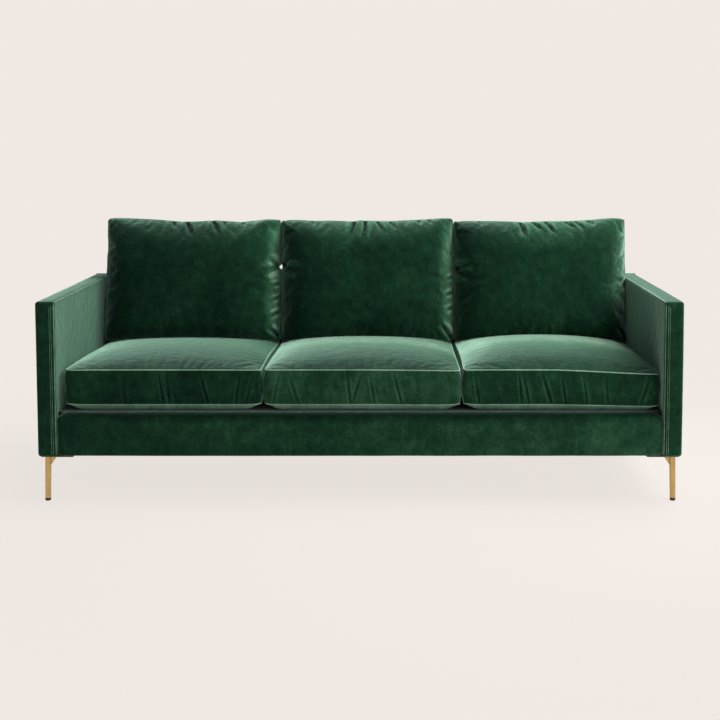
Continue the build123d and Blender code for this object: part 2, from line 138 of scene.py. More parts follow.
class SofaColours(bpy.types.PropertyGroup):
    """Linear colours of the finishes."""

    # The deep colour also takes painted shade, the light colour is the pale of brushed patches and of painted
    # light on lit faces and edges, and the last colour is painted sheen and highlight on the welts and the
    # seat tops
    velvet_deep: colour_property("Velvet deep", "Velvet in the depth of its pile", (0.0018, 0.0125, 0.0058))
    velvet_mid: colour_property("Velvet", "Velvet with its pile at rest", (0.0085, 0.0400, 0.0190))
    velvet_light: colour_property("Velvet light", "Velvet with its pile brushed", (0.038, 0.116, 0.060))
    velvet_painted_sheen: colour_property("Velvet edge", "Velvet worn pale along its seams", (0.290, 0.450, 0.320))
    velvet_sheen: colour_property("Velvet sheen", "Sheen of the pile's tips", (0.60, 0.96, 0.75))
    lining: colour_property("Deck lining", "Woven lining under the seat cushions", (0.010, 0.040, 0.030))
    dust_cloth: colour_property("Dust cloth", "Black cloth under the frame", (0.012, 0.012, 0.013))
    brass: colour_property("Brass", "Brushed brass of the legs", (0.62, 0.42, 0.17))
    glide: colour_property("Glide", "Black plastic of the glides", (0.012, 0.012, 0.013))
    # The leg plates are given a near-black colour
    plate: colour_property("Plate", "Dark paint of the leg plates", (0.016, 0.018, 0.016))
    timber: colour_property("Timber", "Planed timber of the frame", (0.48, 0.28, 0.12))
    hardboard: colour_property("Hardboard", "Boards in the arms", (0.16, 0.08, 0.035))
    webbing: colour_property("Webbing", "Woven elastic straps", (0.015, 0.015, 0.016))
    felt: colour_property("Felt", "Needled felt on the webbing", (0.17, 0.17, 0.165))
    foam: colour_property("Foam", "Foam of the deck and the cores", (0.78, 0.70, 0.48))
    fibre: colour_property("Fibre", "Fibre fill of the back cushions", (0.82, 0.82, 0.78))
    steel: colour_property("Steel", "Zinc plated bolts and screws", (0.42, 0.42, 0.44))
    studio: colour_property("Studio", "Pale floor and background", (0.871, 0.815, 0.768))


def sizes():
    return bpy.context.scene.sofa_sizes


def colours():
    return bpy.context.scene.sofa_colours


# Materials


class Nodes:
    """A node tree under construction."""

    def __init__(self, tree):
        self.tree = tree

    def add(self, kind, inputs=(), **settings):
        node = self.tree.nodes.new(kind)
        for key, value in settings.items():
            setattr(node, key, value)
        for socket, value in dict(inputs).items():
            self.feed(node.inputs[socket], value)
        return node

    def feed(self, socket, value):
        if isinstance(value, bpy.types.NodeSocket):
            self.tree.links.new(value, socket)
        else:
            socket.default_value = value

    def math(self, operation, first, second, clamp=False):
        node = self.add("ShaderNodeMath", {0: first, 1: second}, operation=operation, use_clamp=clamp)
        return node.outputs[0]

    def scaled(self, value, factor, offset, clamp=False):
        """A value times a factor, plus an offset."""
        node = self.add("ShaderNodeMath", {0: value, 1: factor, 2: offset}, operation="MULTIPLY_ADD",
                        use_clamp=clamp)
        return node.outputs[0]

    def mixed(self, first, first_share, second, second_share):
        """The sum of a share of one value and a share of another."""
        return self.math("ADD", self.math("MULTIPLY", first, first_share),
                         self.math("MULTIPLY", second, second_share))

    def seen(self):
        """1 where a ray comes from the camera, or on from metal or glass."""
        path = self.add("ShaderNodeLightPath")
        seen = path.outputs["Is Camera Ray"]
        for kind in ("Is Glossy Ray", "Is Transmission Ray"):
            seen = self.math("MAXIMUM", seen, path.outputs[kind])
        return seen


class Finish(Nodes):
    """A procedural material under construction."""

    def __init__(self, name):
        self.material = bpy.data.materials.new(name)
        self.material.use_nodes = True
        super().__init__(self.material.node_tree)
        self.shader = self.tree.nodes["Principled BSDF"]
        self.coords = self.add("ShaderNodeTexCoord").outputs["Object"]

    def noise(self, scale, detail=2.0, roughness=0.5, stretch=None, distortion=0.0):
        place = self.coords
        if stretch:
            place = self.add("ShaderNodeMapping", {"Vector": place, "Scale": stretch}).outputs[0]
        inputs = {"Vector": place, "Scale": scale, "Detail": detail, "Roughness": roughness,
                  "Distortion": distortion}
        return self.add("ShaderNodeTexNoise", inputs).outputs["Fac"]

    def ramp(self, value, stops):
        node = self.add("ShaderNodeValToRGB", {"Fac": value})
        elements = node.color_ramp.elements
        while len(elements) < len(stops):
            elements.new(0.5)
        for element, (place, colour) in zip(elements, stops):
            element.position = place
            element.color = colour
        return node.outputs["Color"]

    def bump(self, height, strength, distance, under=None):
        inputs = {"Height": height, "Strength": strength, "Distance": distance}
        if under:
            inputs["Normal"] = under
        return self.add("ShaderNodeBump", inputs).outputs["Normal"]

    def set(self, **values):
        for name, value in values.items():
            self.feed(self.shader.inputs[name.replace("_", " ")], value)


def shade(colour, share):
    """A colour made lighter or darker by a share."""
    return tuple(min(1.0, part * share) for part in colour[:3]) + (1.0,)


def velvet():
    """Cut pile that lies in patches: dark in its depth, pale where it is brushed, with a soft sheen, and with
    the light and shade painted into each piece.
    """
    if "emerald_velvet" in bpy.data.materials:
        return bpy.data.materials["emerald_velvet"]
    c = colours()
    finish = Finish("emerald_velvet")
    patches = finish.noise(scale=5.0, detail=5.0, roughness=0.62, distortion=0.3)
    smudges = finish.noise(scale=34.0, detail=4.0, roughness=0.6, stretch=(1.0, 1.0, 0.8))
    # Painted light and shade: a value stored on each piece's points makes the pile paler where light falls
    # and darker where shade falls
    painted_light = finish.add("ShaderNodeAttribute", attribute_name="painted_light").outputs["Fac"]
    pile = finish.noise(scale=900.0, detail=1.0)
    grain = finish.noise(scale=230.0, detail=2.0, roughness=0.6)
    lie = finish.scaled(patches, factor=0.6, offset=0.10)
    for texture, share in ((smudges, 0.48), (pile, 0.22), (grain, 0.46)):
        lie = finish.math("ADD", lie, finish.scaled(texture, factor=share, offset=-0.5 * share))
    # The pile's lie with the painted light and shade added, up to 1.25, is fitted to the ramp
    lie = finish.math("MULTIPLY", finish.math("ADD", lie, painted_light), 0.8, clamp=True)
    colour = finish.ramp(lie, [(0.128, c.velvet_deep), (0.352, c.velvet_mid), (0.64, c.velvet_light),
                               (1.0, c.velvet_painted_sheen)])
    fibres = finish.bump(pile, strength=0.35, distance=0.0007)
    tufts = finish.bump(grain, strength=0.30, distance=0.0012, under=fibres)
    surface = finish.bump(smudges, strength=0.7, distance=0.005, under=tufts)
    finish.set(Base_Color=colour, Roughness=finish.scaled(smudges, factor=0.2, offset=0.62), Normal=surface,
               Sheen_Weight=1.0, Sheen_Roughness=0.38, Sheen_Tint=c.velvet_sheen, Specular_IOR_Level=0.0)
    return finish.material


def woven_cloth(name, colour, scale):
    """A plain weave of fine threads."""
    finish = Finish(name)
    wave = {"Vector": finish.coords, "Scale": scale, "Distortion": 1.2, "Detail": 1.0}
    threads = [finish.add("ShaderNodeTexWave", wave, bands_direction=axis).outputs["Fac"] for axis in "XY"]
    weave = finish.math("MAXIMUM", *threads)
    tone = finish.mixed(weave, 0.6, finish.noise(scale=12.0), 0.4)
    finish.set(Base_Color=finish.ramp(tone, [(0.15, shade(colour, 0.55)), (0.85, shade(colour, 1.35))]),
               Roughness=finish.scaled(weave, factor=0.1, offset=0.8, clamp=True), Specular_IOR_Level=0.2,
               Sheen_Weight=0.2, Normal=finish.bump(weave, strength=0.4, distance=0.0008))
    return finish.material


def lining_cloth():
    """The black cloth under the frame, and behind the front cover, where it stands in for shade."""
    if "black_lining" in bpy.data.materials:
        return bpy.data.materials["black_lining"]
    return woven_cloth("black_lining", colours().dust_cloth, scale=300.0)


def fleece(name, colour, scale, distance):
    """Hardboard, felt, foam or fibre: a pressed or loose mass with small pits."""
    finish = Finish(name)
    pits = finish.noise(scale, detail=4.0, roughness=0.65)
    tone = finish.mixed(pits, 0.7, finish.noise(scale=9.0), 0.3)
    finish.set(Base_Color=finish.ramp(tone, [(0.25, shade(colour, 0.72)), (0.75, shade(colour, 1.08))]),
               Roughness=finish.scaled(pits, factor=0.1, offset=0.85, clamp=True), Specular_IOR_Level=0.2,
               Normal=finish.bump(pits, strength=0.5, distance=distance))
    return finish.material


def board_grain(name, colour, axis):
    """Timber whose grain runs along one axis."""
    finish = Finish(name)
    across_grain, along_grain = 34.0, 1.6
    stretch = [across_grain] * 3
    stretch[axis] = along_grain
    grain = finish.noise(scale=1.0, detail=5.0, roughness=0.6, stretch=stretch, distortion=0.6)
    fine = finish.noise(scale=7.0, detail=3.0, roughness=0.6, stretch=stretch)
    tone = finish.mixed(grain, 0.7, fine, 0.3)
    stops = [(0.3, shade(colour, 0.62)), (0.52, colour), (0.7, shade(colour, 1.3))]
    finish.set(Base_Color=finish.ramp(tone, stops),
               Roughness=finish.scaled(fine, factor=0.2, offset=0.5, clamp=True),
               Normal=finish.bump(tone, strength=0.25, distance=0.0006))
    return finish.material


def brushed_metal(name, colour, stretch, rough_low):
    """Metal with fine brush lines, a little worn tone and finger-dull patches."""
    finish = Finish(name)
    lines = finish.noise(scale=1.0, detail=3.0, roughness=0.6, stretch=stretch)
    dull = finish.noise(scale=38.0, detail=3.0, roughness=0.6)
    tone = finish.mixed(lines, 0.6, dull, 0.4)
    finish.set(Base_Color=finish.ramp(tone, [(0.3, shade(colour, 0.72)), (0.7, shade(colour, 1.1))]),
               Metallic=1.0, Roughness=finish.scaled(tone, factor=0.26, offset=rough_low, clamp=True),
               Normal=finish.bump(lines, strength=0.18, distance=0.0002))
    return finish.material


def moulded_plastic(name, colour):
    """Matt plastic or paint with a fine grain."""
    finish = Finish(name)
    grain = finish.noise(scale=650.0, detail=2.0)
    wear = finish.noise(scale=60.0, detail=3.0)
    finish.set(Base_Color=finish.ramp(wear, [(0.3, colour), (0.8, shade(colour, 2.4))]),
               Roughness=finish.scaled(wear, factor=0.3, offset=0.4, clamp=True),
               Normal=finish.bump(grain, strength=0.25, distance=0.0003))
    return finish.material


# Meshes

# Edges of crisp pieces that turn by more than this stay hard
CRISP_ANGLE = math.radians(40.0)


def box_between(low, high):
    """A bmesh box between two corners."""
    bm = bmesh.new()
    bmesh.ops.create_cube(bm, size=1.0)
    bmesh.ops.scale(bm, vec=Vector(high) - Vector(low), verts=bm.verts)
    bmesh.ops.translate(bm, vec=(Vector(low) + Vector(high)) / 2, verts=bm.verts)
    return bm


def bevel(bm, edges, radius, segments, clamp=False):
    """Rounds edges of a bmesh."""
    bmesh.ops.bevel(bm, geom=edges, offset=radius, offset_type="OFFSET", segments=segments, profile=0.5,
                    affect="EDGES", material=-1, clamp_overlap=clamp)


def level_edges(bm):
    """The edges that lie level."""
    return [edge for edge in bm.edges if abs(edge.verts[0].co.z - edge.verts[1].co.z) < 1e-6]


def extrude(bm, outline, vec):
    """Draws a flat outline out into a solid."""
    face = bm.faces.new([bm.verts.new(point) for point in outline])
    made = bmesh.ops.extrude_face_region(bm, geom=[face])["geom"]
    bmesh.ops.translate(bm, vec=vec, verts=[item for item in made if isinstance(item, bmesh.types.BMVert)])
    bmesh.ops.recalc_face_normals(bm, faces=bm.faces)


def cut_even(bm, steps):
    """Cuts the long edges along each axis into even runs of about the given steps."""
    for axis, step in enumerate(steps):
        if not step:
            continue
        long_edges = []
        for edge in bm.edges:
            run = edge.verts[1].co - edge.verts[0].co
            if abs(run[axis]) > 0.999 * run.length and run.length > 1.5 * step:
                long_edges.append(edge)
        lengths = {round(edge.calc_length(), 5) for edge in long_edges}
        for length in sorted(lengths):
            same = [edge for edge in long_edges if edge.is_valid and round(edge.calc_length(), 5) == length]
            cuts = max(1, round(length / step) - 1)
            bmesh.ops.subdivide_edges(bm, edges=same, cuts=cuts, use_grid_fill=True)


def rounded_box(low, high, radius, step, segments=4):
    """A box with round edges whose faces are cut into an even grid."""
    bm = box_between(low, high)
    bevel(bm, bm.edges[:], radius, segments, clamp=True)
    cut_even(bm, (step, step, step))
    return bm


def read_points(bm):
    return np.array([vert.co for vert in bm.verts])


def read_normals(bm):
    bm.normal_update()
    return np.array([vert.normal for vert in bm.verts])


def write_points(bm, points):
    for vert, point in zip(bm.verts, points):
        vert.co = point


def waves(points, scale, seed):
    """Smooth noise between -1 and 1 at each point."""
    offset = Vector((seed * 7.3, seed * 3.1, seed * 5.7))
    return np.array([noise.noise(Vector(point) * scale + offset) for point in points])


def soften(bm, amount, scale, seed):
    """Pushes a cover in and out a little, as padding does."""
    points = read_points(bm)
    write_points(bm, points + read_normals(bm) * (waves(points, scale, seed) * amount)[:, None])


def join(bm, other):
    """Adds another bmesh to a bmesh."""
    mesh = bpy.data.meshes.new("joined")
    other.to_mesh(mesh)
    other.free()
    bm.from_mesh(mesh)
    bpy.data.meshes.remove(mesh)


def add_piece(name, bm, finish, body, stands_for=(), crisp=False):
    """Makes a finished bmesh a piece that rides on a CAD body. A crisp piece keeps its hard edges."""
    mesh = bpy.data.meshes.new(name)
    bm.to_mesh(mesh)
    bm.free()
    mesh.shade_smooth()
    if crisp:
        mesh.set_sharp_from_angle(angle=CRISP_ANGLE)
    mesh.materials.append(finish)
    piece = bpy.data.objects.new(name, mesh)
    bpy.context.scene.collection.objects.link(piece)
    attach(piece, body)
    if stands_for:
        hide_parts(*stands_for)
    return piece


def new_curve(name, lines, cyclic=False):
    """A curve of straight runs through the points of each line."""
    curve = bpy.data.curves.new(name, "CURVE")
    curve.dimensions = "3D"
    for line in lines:
        spline = curve.splines.new("POLY")
        spline.points.add(len(line) - 1)
        for place, point in zip(spline.points, line):
            place.co = (*point, 1.0)
        spline.use_cyclic_u = cyclic
    return curve


def add_tube(bm, curve, radius, caps):
    """Turns a curve into a round tube and moves it into a bmesh."""
    curve.bevel_depth = radius
    curve.bevel_resolution = 1
    curve.use_fill_caps = caps
    holder = bpy.data.objects.new("tube", curve)
    mesh = bpy.data.meshes.new_from_object(holder)
    bm.from_mesh(mesh)
    bpy.data.objects.remove(holder)
    bpy.data.curves.remove(curve)
    bpy.data.meshes.remove(mesh)


def add_cord(bm, points, radius, cyclic):
    """Adds a round cord along the points to a bmesh."""
    add_tube(bm, new_curve("cord", [points], cyclic), radius, not cyclic)


def add_stitches(bm, start, end, length):
    """Adds a row of raised stitches along a line."""
    pitch, share, thickness = 1.5, 0.66, 0.16
    start, end = Vector(start), Vector(end)
    count = int((end - start).length / (pitch * length))
    step = (end - start) / count
    lines = [(start + step * number, start + step * (number + share)) for number in range(count)]
    add_tube(bm, new_curve("stitches", lines), thickness * length, True)


def paint_light_and_shade(piece, values):
    """Stores the light and shade painted at each point, which the velvet adds to the pile's lie."""
    attribute = piece.data.attributes.new("painted_light", "FLOAT", "POINT")
    attribute.data.foreach_set("value", np.asarray(values, np.float32))


# Cushions

# Places on a cushion run from -1 to 1 across, along and through it. Past these they lie on a seam or a panel.
ON_SEAM = 0.9999
ON_PANEL = 0.999
PLACES = ("u", "v", "w")
# How a cushion's cover stretches as it swells
COVER_CLOTH = {
    "quality": 4, "mass": 0.25, "tension_stiffness": 12, "compression_stiffness": 12, "shear_stiffness": 4,
    "bending_stiffness": 0.6, "air_damping": 4, "use_pressure": True,
}
# Painted highlights: how pale the welts, the seam ridges and the arm's stitches are painted
SEAT_WELT_HIGHLIGHT = 0.75
SEAM_HIGHLIGHT = 0.60


def fullness(place, power, share):
    """How full a cushion is between its seams, which lie at -1 and 1."""
    return np.maximum(0.0, 1.0 - np.abs(place) ** power) ** share


def smooth_step(low, high, value):
    t = np.clip((value - low) / (high - low), 0.0, 1.0)
    return t * t * (3.0 - 2.0 * t)


def grid_cushion(half, step, levels):
    """A box of even quads with the seams along its edges, and its places from -1 to 1."""
    bm = box_between([-part for part in half], half)
    cut_even(bm, (step, step, 2 * half[2] / levels if levels > 1 else 0))
    return bm, read_points(bm) / np.array(half)


def round_corners(x, y, half_x, half_y, radius):
    """Moves points of a rectangle's rings onto rings with round corners."""
    ring = np.maximum(np.maximum(np.abs(x) / half_x, np.abs(y) / half_y), 1e-9)
    r = radius * ring
    from_x = half_x * ring - np.abs(x)
    from_y = half_y * ring - np.abs(y)
    on_side = from_x <= from_y
    run = np.where(on_side, from_y, from_x)
    corner = (run < r) & (ring > 1e-6)
    angle = np.where(corner, (1.0 - run / np.maximum(r, 1e-9)) * math.pi / 4, 0.0)
    near, far = np.cos(angle), np.sin(angle)
    new_x = half_x * ring - r + r * np.where(on_side, near, far)
    new_y = half_y * ring - r + r * np.where(on_side, far, near)
    return np.where(corner, np.sign(x) * new_x, x), np.where(corner, np.sign(y) * new_y, y)


def crease(across, along, line, width, depth):
    """A fold: a valley with a ridge on each side, strongest at its first end."""
    ridges = 2.2
    (x0, y0), (x1, y1) = line
    run = np.array([x1 - x0, y1 - y0])
    length = np.hypot(*run)
    run = run / length
    t = ((across - x0) * run[0] + (along - y0) * run[1]) / length
    off = ((across - x0) * -run[1] + (along - y0) * run[0]) / width
    fade = smooth_step(-0.25, 0.05, t) * (1.0 - smooth_step(0.35, 1.1, t))
    return -depth * fade * (1.0 - ridges * off ** 2) * np.exp(-off ** 2)


def fold_highlight_and_shade(folds, pale, ridge, dark, valley):
    """Painted highlight on folds with ridges of a height, and painted shade in valleys of a depth."""
    return pale * np.clip(folds / ridge, 0.0, 1.0) - dark * np.clip(-folds / valley, 0.0, 1.0)


def swell(bm, held, pressure, grow, frames, cap):
    """Lets a cover swell as cloth under pressure, held along its seams, with no point moving past the cap."""
    mesh = bpy.data.meshes.new("swelling")
    bm.to_mesh(mesh)
    work = bpy.data.objects.new("swelling", mesh)
    scene = bpy.context.scene
    scene.collection.objects.link(work)
    group = work.vertex_groups.new(name="seams")
    group.add([int(index) for index in np.nonzero(held)[0]], 1.0, "REPLACE")
    cloth = work.modifiers.new("cloth", "CLOTH")
    for key, value in COVER_CLOTH.items():
        setattr(cloth.settings, key, value)
    cloth.settings.uniform_pressure_force = pressure
    cloth.settings.shrink_min = -grow
    cloth.settings.effector_weights.gravity = 0
    cloth.settings.vertex_group_mass = "seams"
    cloth.collision_settings.use_collision = False
    cloth.collision_settings.use_self_collision = False
    cloth.point_cache.frame_start = 1
    cloth.point_cache.frame_end = frames
    for step in range(1, frames + 1):
        scene.frame_set(step)
    settled = work.evaluated_get(bpy.context.evaluated_depsgraph_get()).to_mesh()
    after = np.zeros(len(settled.vertices) * 3)
    settled.vertices.foreach_get("co", after)
    before = read_points(bm)
    move = after.reshape(-1, 3) - before
    length = np.linalg.norm(move, axis=1)
    limit = cap * np.tanh(length / cap) / np.maximum(length, 1e-9)
    write_points(bm, before + move * limit[:, None])
    scene.frame_set(1)
    bpy.data.objects.remove(work)
    bpy.data.meshes.remove(mesh)


def finer(bm):
    """One round of smooth subdivision. Returns the new bmesh."""
    mesh = bpy.data.meshes.new("finer")
    bm.to_mesh(mesh)
    bm.free()
    work = bpy.data.objects.new("finer", mesh)
    bpy.context.scene.collection.objects.link(work)
    subdivision = work.modifiers.new("subdivision", "SUBSURF")
    subdivision.levels = 1
    subdivision.render_levels = 1
    fine = bpy.data.meshes.new_from_object(work.evaluated_get(bpy.context.evaluated_depsgraph_get()))
    made = bmesh.new()
    made.from_mesh(fine)
    bpy.data.objects.remove(work)
    bpy.data.meshes.remove(mesh)
    bpy.data.meshes.remove(fine)
    return made


def store_places(bm, places):
    """Gives each point its place on the cushion, which it carries through the subdivision."""
    for name, values in zip(PLACES, places.T):
        layer = bm.verts.layers.float.new(name)
        for vert, value in zip(bm.verts, values):
            vert[layer] = float(value)


def recall_places(bm):
    """The places that the points carry."""
    layers = [bm.verts.layers.float[name] for name in PLACES]
    return [np.array([vert[layer] for vert in bm.verts]) for layer in layers]


def loop_round(points, chosen, centre, first, second):
    """The chosen points in order round a centre, in the plane of two directions."""
    places = points[chosen]
    turn = np.arctan2((places - centre) @ np.array(second), (places - centre) @ np.array(first))
    return places[np.argsort(turn)]


def rest_on(piece, points, below, clearance):
    """Lifts the points that lie below a level until they clear a piece under them."""
    faces = BVHTree.FromPolygons([vert.co for vert in piece.data.vertices],
                                 [face.vertices for face in piece.data.polygons])
    for index in np.nonzero(points[:, 2] < below)[0]:
        hit = faces.ray_cast(Vector((*points[index, :2], cushion_high.z)), Vector((0, 0, -1)))[0]
        if hit is not None:
            points[index, 2] = max(points[index, 2], hit.z + clearance)


# Seat cushions: half their width at the seams, the furthest that their sides swell, and their corners
SEAT_HALF = 0.3185
SEAT_REACH = 0.3231
SEAT_CORNER = 0.017
# Rows of quads up the boxing, and how far the boxing swells
SEAT_LEVELS = 14
BOXING_SWELL = 0.0045
# How far the sides and the ends draw in between the corners
SEAT_SIDE_DRAW_IN = 0.0035
SEAT_END_DRAW_IN = 0.0020
# The lower panel turns under within this distance, clears the deck by this, and is higher at its corners
SEAT_TURN_UNDER = 0.007
SEAT_DECK_GAP = 0.0006
SEAT_CORNER_LIFT = 0.85
# Painted sheen and shade: how pale the top is painted towards the back, how dark at its front, and how pale
# the lower panel's edge is painted as sheen
SEAT_TOP_SHEEN = 0.42
SEAT_TOP_FRONT_SHADE = -0.12
SEAT_UNDER_SHEEN = 0.66
# Front boxing wrinkles of each seat cushion: place and lean across, from -1 to 1, width and depth in metres
BOXING_WRINKLES = {
    "left": [(-0.02, 0.03, 0.006, 0.0030), (0.05, 0.02, 0.008, 0.0022), (0.42, 0.05, 0.007, 0.0030),
             (0.76, -0.03, 0.006, 0.0024), (-0.40, 0.02, 0.010, 0.0012), (0.88, -0.05, 0.007, 0.0018)],
    "middle": [(-0.70, 0.06, 0.007, 0.0020), (-0.14, 0.02, 0.007, 0.0032), (-0.06, -0.06, 0.008, 0.0020),
               (0.10, 0.03, 0.006, 0.0026), (0.36, 0.05, 0.007, 0.0032), (-0.88, -0.04, 0.007, 0.0018)],
    "right": [(-0.86, 0.03, 0.007, 0.0022), (-0.42, 0.02, 0.006, 0.0030), (-0.36, 0.04, 0.007, 0.0022),
              (-0.15, 0.06, 0.008, 0.0034), (0.02, 0.03, 0.006, 0.0028), (0.24, 0.03, 0.006, 0.0026),
              (0.46, 0.02, 0.007, 0.0018), (0.86, -0.06, 0.008, 0.0024)],
}
# How far each seat cushion's right front corner sags, and how far the cushion has slid to the right
SEAT_SAG = {"left": 0.000, "middle": 0.002, "right": 0.013}
SEAT_SLIDE = {"left": 0.0125, "middle": 0.0070, "right": 0.0015}
# Each seat cushion's crown, and the share of it that is lost towards the back
SEAT_CROWN = {"left": 0.034, "middle": 0.038, "right": 0.045}
SEAT_REAR_FALL = {"left": 0.20, "middle": 0.05, "right": 0.0}
# Painted light: how much paler, or darker below 0, each seat cushion's boxing and top are painted for how the
# light falls on it
SEAT_PAINTED_LIGHT = {"left": (-0.06, 0.08), "middle": (0.13, 0.30), "right": (0.00, 0.40)}


def seat_blank(name, place, half, seam_low, seam_high):
    """The points of a seat cushion before it swells, round its own middle."""
    s = sizes()
    u, v, w = place.T
    edge = np.maximum(np.abs(u), np.abs(v))
    x = u * half[0] - np.sign(u) * SEAT_SIDE_DRAW_IN * (1.0 - v ** 2) * edge ** 4
    y = v * half[1] - np.sign(v) * SEAT_END_DRAW_IN * (1.0 - u ** 2) * edge ** 4
    x, y = round_corners(x, y, half[0], half[1], SEAT_CORNER)
    bulge = np.where(edge > ON_SEAM, BOXING_SWELL * (1.0 - w ** 2), 0.0)
    x = x * (1.0 + bulge / half[0])
    y = y * (1.0 + bulge / half[1])
    z = seam_low + (w + 1.0) / 2.0 * (seam_high - seam_low - s.seat_rake * smooth_step(-0.6, 1.0, v))
    fall = 1.0 - SEAT_REAR_FALL[name] * smooth_step(0.05, 0.60, v)
    crown = SEAT_CROWN[name] * fall * fullness(u, power=2.2, share=0.75) * fullness(v, power=2.1, share=0.7)
    z = z + np.where(w > ON_SEAM, crown, 0.0)
    from_edge = np.minimum(half[0] * (1.0 - np.abs(u)), half[1] * (1.0 - np.abs(v)))
    turn = np.clip(from_edge / SEAT_TURN_UNDER, 0.0, 1.0)
    under = (s.seat_seam_low - SEAT_DECK_GAP) * np.sqrt(1.0 - (1.0 - turn) ** 2)
    under = under * (1.0 - SEAT_CORNER_LIFT * smooth_step(0.82, 1.0, np.abs(u)))
    z = z - np.where(w < -ON_SEAM, under, 0.0)
    sag = SEAT_SAG[name] * smooth_step(-0.2, 1.0, u) * (0.55 - 0.45 * v)
    z = z - sag * np.clip((z - seat_low.z) / (seam_high - seat_low.z), 0.0, 1.0) ** 0.4
    return np.stack([x, y, z], axis=1)


def make_seat_cushion(name, centre_x):
    """A boxed cushion: crowned top panel, boxing between two seams, and a lower panel that turns under."""
    s = sizes()
    deck = seat_low.z
    seam_low = deck + s.seat_seam_low
    seam_high = deck + s.seat_seam_high
    centre = np.array([centre_x + SEAT_SLIDE[name], (seat_low.y + seat_high.y) / 2, 0.0])
    half = (SEAT_HALF, (seat_high.y - seat_low.y) / 2, (seam_high - seam_low) / 2)
    bm, place = grid_cushion(half, s.seat_step, SEAT_LEVELS)
    write_points(bm, seat_blank(name, place, half, seam_low, seam_high) + centre)
    store_places(bm, place)
    on_side = np.abs(place[:, :2]).max(axis=1) > ON_SEAM
    top, bottom = place[:, 2] > ON_SEAM, place[:, 2] < -ON_SEAM
    swell(bm, (on_side & top) | bottom, pressure=3.0, grow=0.012, frames=18, cap=0.009)
    bm = finer(bm)
    u, v, w = recall_places(bm)
    points = read_points(bm)
    front = smooth_step(-0.985, -0.9999, v) * (1.0 - np.abs(w) ** 6)
    wrinkles = np.zeros(len(points))
    for across, lean, width, depth in BOXING_WRINKLES[name]:
        low_end = (centre[0] + (across + lean) * half[0], seam_low - 0.01)
        high_end = (centre[0] + (across - lean) * half[0], seam_high)
        wrinkles += front * crease(points[:, 0], points[:, 2], (low_end, high_end), s.wrinkle_width * width,
                                   s.wrinkle_depth * depth)
    points[:, 1] -= wrinkles
    points[:, 2] = np.maximum(points[:, 2], deck + SEAT_DECK_GAP / 2)
    points[:, 0] = np.clip(points[:, 0], centre[0] - SEAT_REACH, centre[0] + SEAT_REACH)
    write_points(bm, points)
    # Painted light and shade: the top paler towards the back as painted sheen and darker at its front, the
    # lower panel's edge painted pale, each cushion painted lighter or darker, painted highlights and shade on
    # the wrinkles, and the welts painted pale as highlights
    side_light, top_light = SEAT_PAINTED_LIGHT[name]
    painted_light = (w > ON_PANEL) * ((SEAT_TOP_SHEEN + top_light) * smooth_step(-0.9, 0.1, v) + SEAT_TOP_FRONT_SHADE)
    painted_light = np.where(np.abs(w) < ON_PANEL, side_light, painted_light + SEAT_UNDER_SHEEN * (w < -ON_PANEL))
    painted_light += fold_highlight_and_shade(wrinkles, pale=0.16, ridge=0.0012, dark=0.10, valley=0.003)
    for level in (1.0, -1.0):
        on_seam = (np.maximum(np.abs(u), np.abs(v)) > ON_SEAM) & (np.abs(w - level) < 1e-4)
        loop = loop_round(points, on_seam, centre, (1.0 / half[0], 0, 0), (0, 1.0 / half[1], 0))
        add_cord(bm, loop, s.welt, True)
    painted_light = np.concatenate([painted_light, np.full(len(bm.verts) - len(painted_light), SEAT_WELT_HIGHLIGHT)])
    piece = add_piece(f"seat_cushion_{name}", bm, velvet(), f"seat_cushion_{name}",
                      [f"seat_cushion_cover_{name}", f"seat_cushion_core_{name}"])
    paint_light_and_shade(piece, painted_light)


# Back cushions: half their seam's thickness, their corners, and how they clear the back and the seat
BACK_SEAM = 0.0012
BACK_CORNER = 0.011
BACK_CLEARANCE = 0.0015
BACK_SEAT_CLEARANCE = 0.0016
# The height above a back cushion's solid up to which it may lie on the seat
BACK_SEAT_BAND = 0.08
# How far the rear panel bulges past the seam before it swells, and how far from the seam it is widest
REAR_BULGE = 0.019
REAR_BULGE_PLACE = 0.009
# How far past the seam the rear and the front panel may reach, so that neighbours press on each other behind
REAR_REACH = 0.0036
FRONT_REACH = 0.0003
# Points of the rear panel lie below this place, and this strip of it presses on the neighbours
REAR_PANEL = -0.5
PRESS_START = 0.0035
PRESS_FADE = 0.009
PRESS_END = 0.018
# The share of the swell that is there before the simulation
BACK_FILLED = 0.93
# How much deeper the pinches and how much shallower the folds are in the rear panel
REAR_PINCH = 3.5
REAR_FOLDS = 0.4
# The welt against the seats' welts
BACK_WELT = 0.9
# Painted light and shade: how much darker the front is painted, how pale its upper edge as painted sheen, and
# how dark the sides of the rear panel as painted shade in the gaps
BACK_SHADE = -0.06
BACK_TOP_SHEEN = 0.08
BACK_REAR_SIDE_SHADE = -0.35
# Places up each back cushion's sides where the seam is pinched in: side, place, depth and length
SIDE_PINCHES = {
    "left": [(1, 0.21, 0.0015, 0.035), (1, -0.30, 0.0015, 0.10), (-1, 0.55, 0.0040, 0.08),
             (-1, -0.12, 0.0055, 0.09)],
    "middle": [(-1, 0.21, 0.0014, 0.035), (1, -0.20, 0.0015, 0.08)],
    "right": [(1, 0.40, 0.0040, 0.08), (1, -0.08, 0.0060, 0.07)],
}
# The side where a pinch leaves a small opening between two back cushions, its place and its length
OPEN_SIDE = {"left": 1, "middle": -1, "right": 0}
OPENING_PLACE = 0.21
OPENING_LENGTH = 0.03
# How pale each back cushion's right edge is painted, where the light from the right falls on it
BACK_RIGHT_EDGE_LIGHT = {"left": 0.44, "middle": 0.44, "right": 0.14}
# How far each back cushion has slid to the right, and half its width
BACK_SLIDE = {"left": 0.0102, "middle": 0.0090, "right": 0.0040}
BACK_HALF = {"left": 0.3232, "middle": 0.3199, "right": 0.3194}
# The side to which each back cushion's foot spreads, and how far
BACK_SPLAY = {"left": (-1, 0.008), "middle": (1, 0.0), "right": (1, 0.0015)}
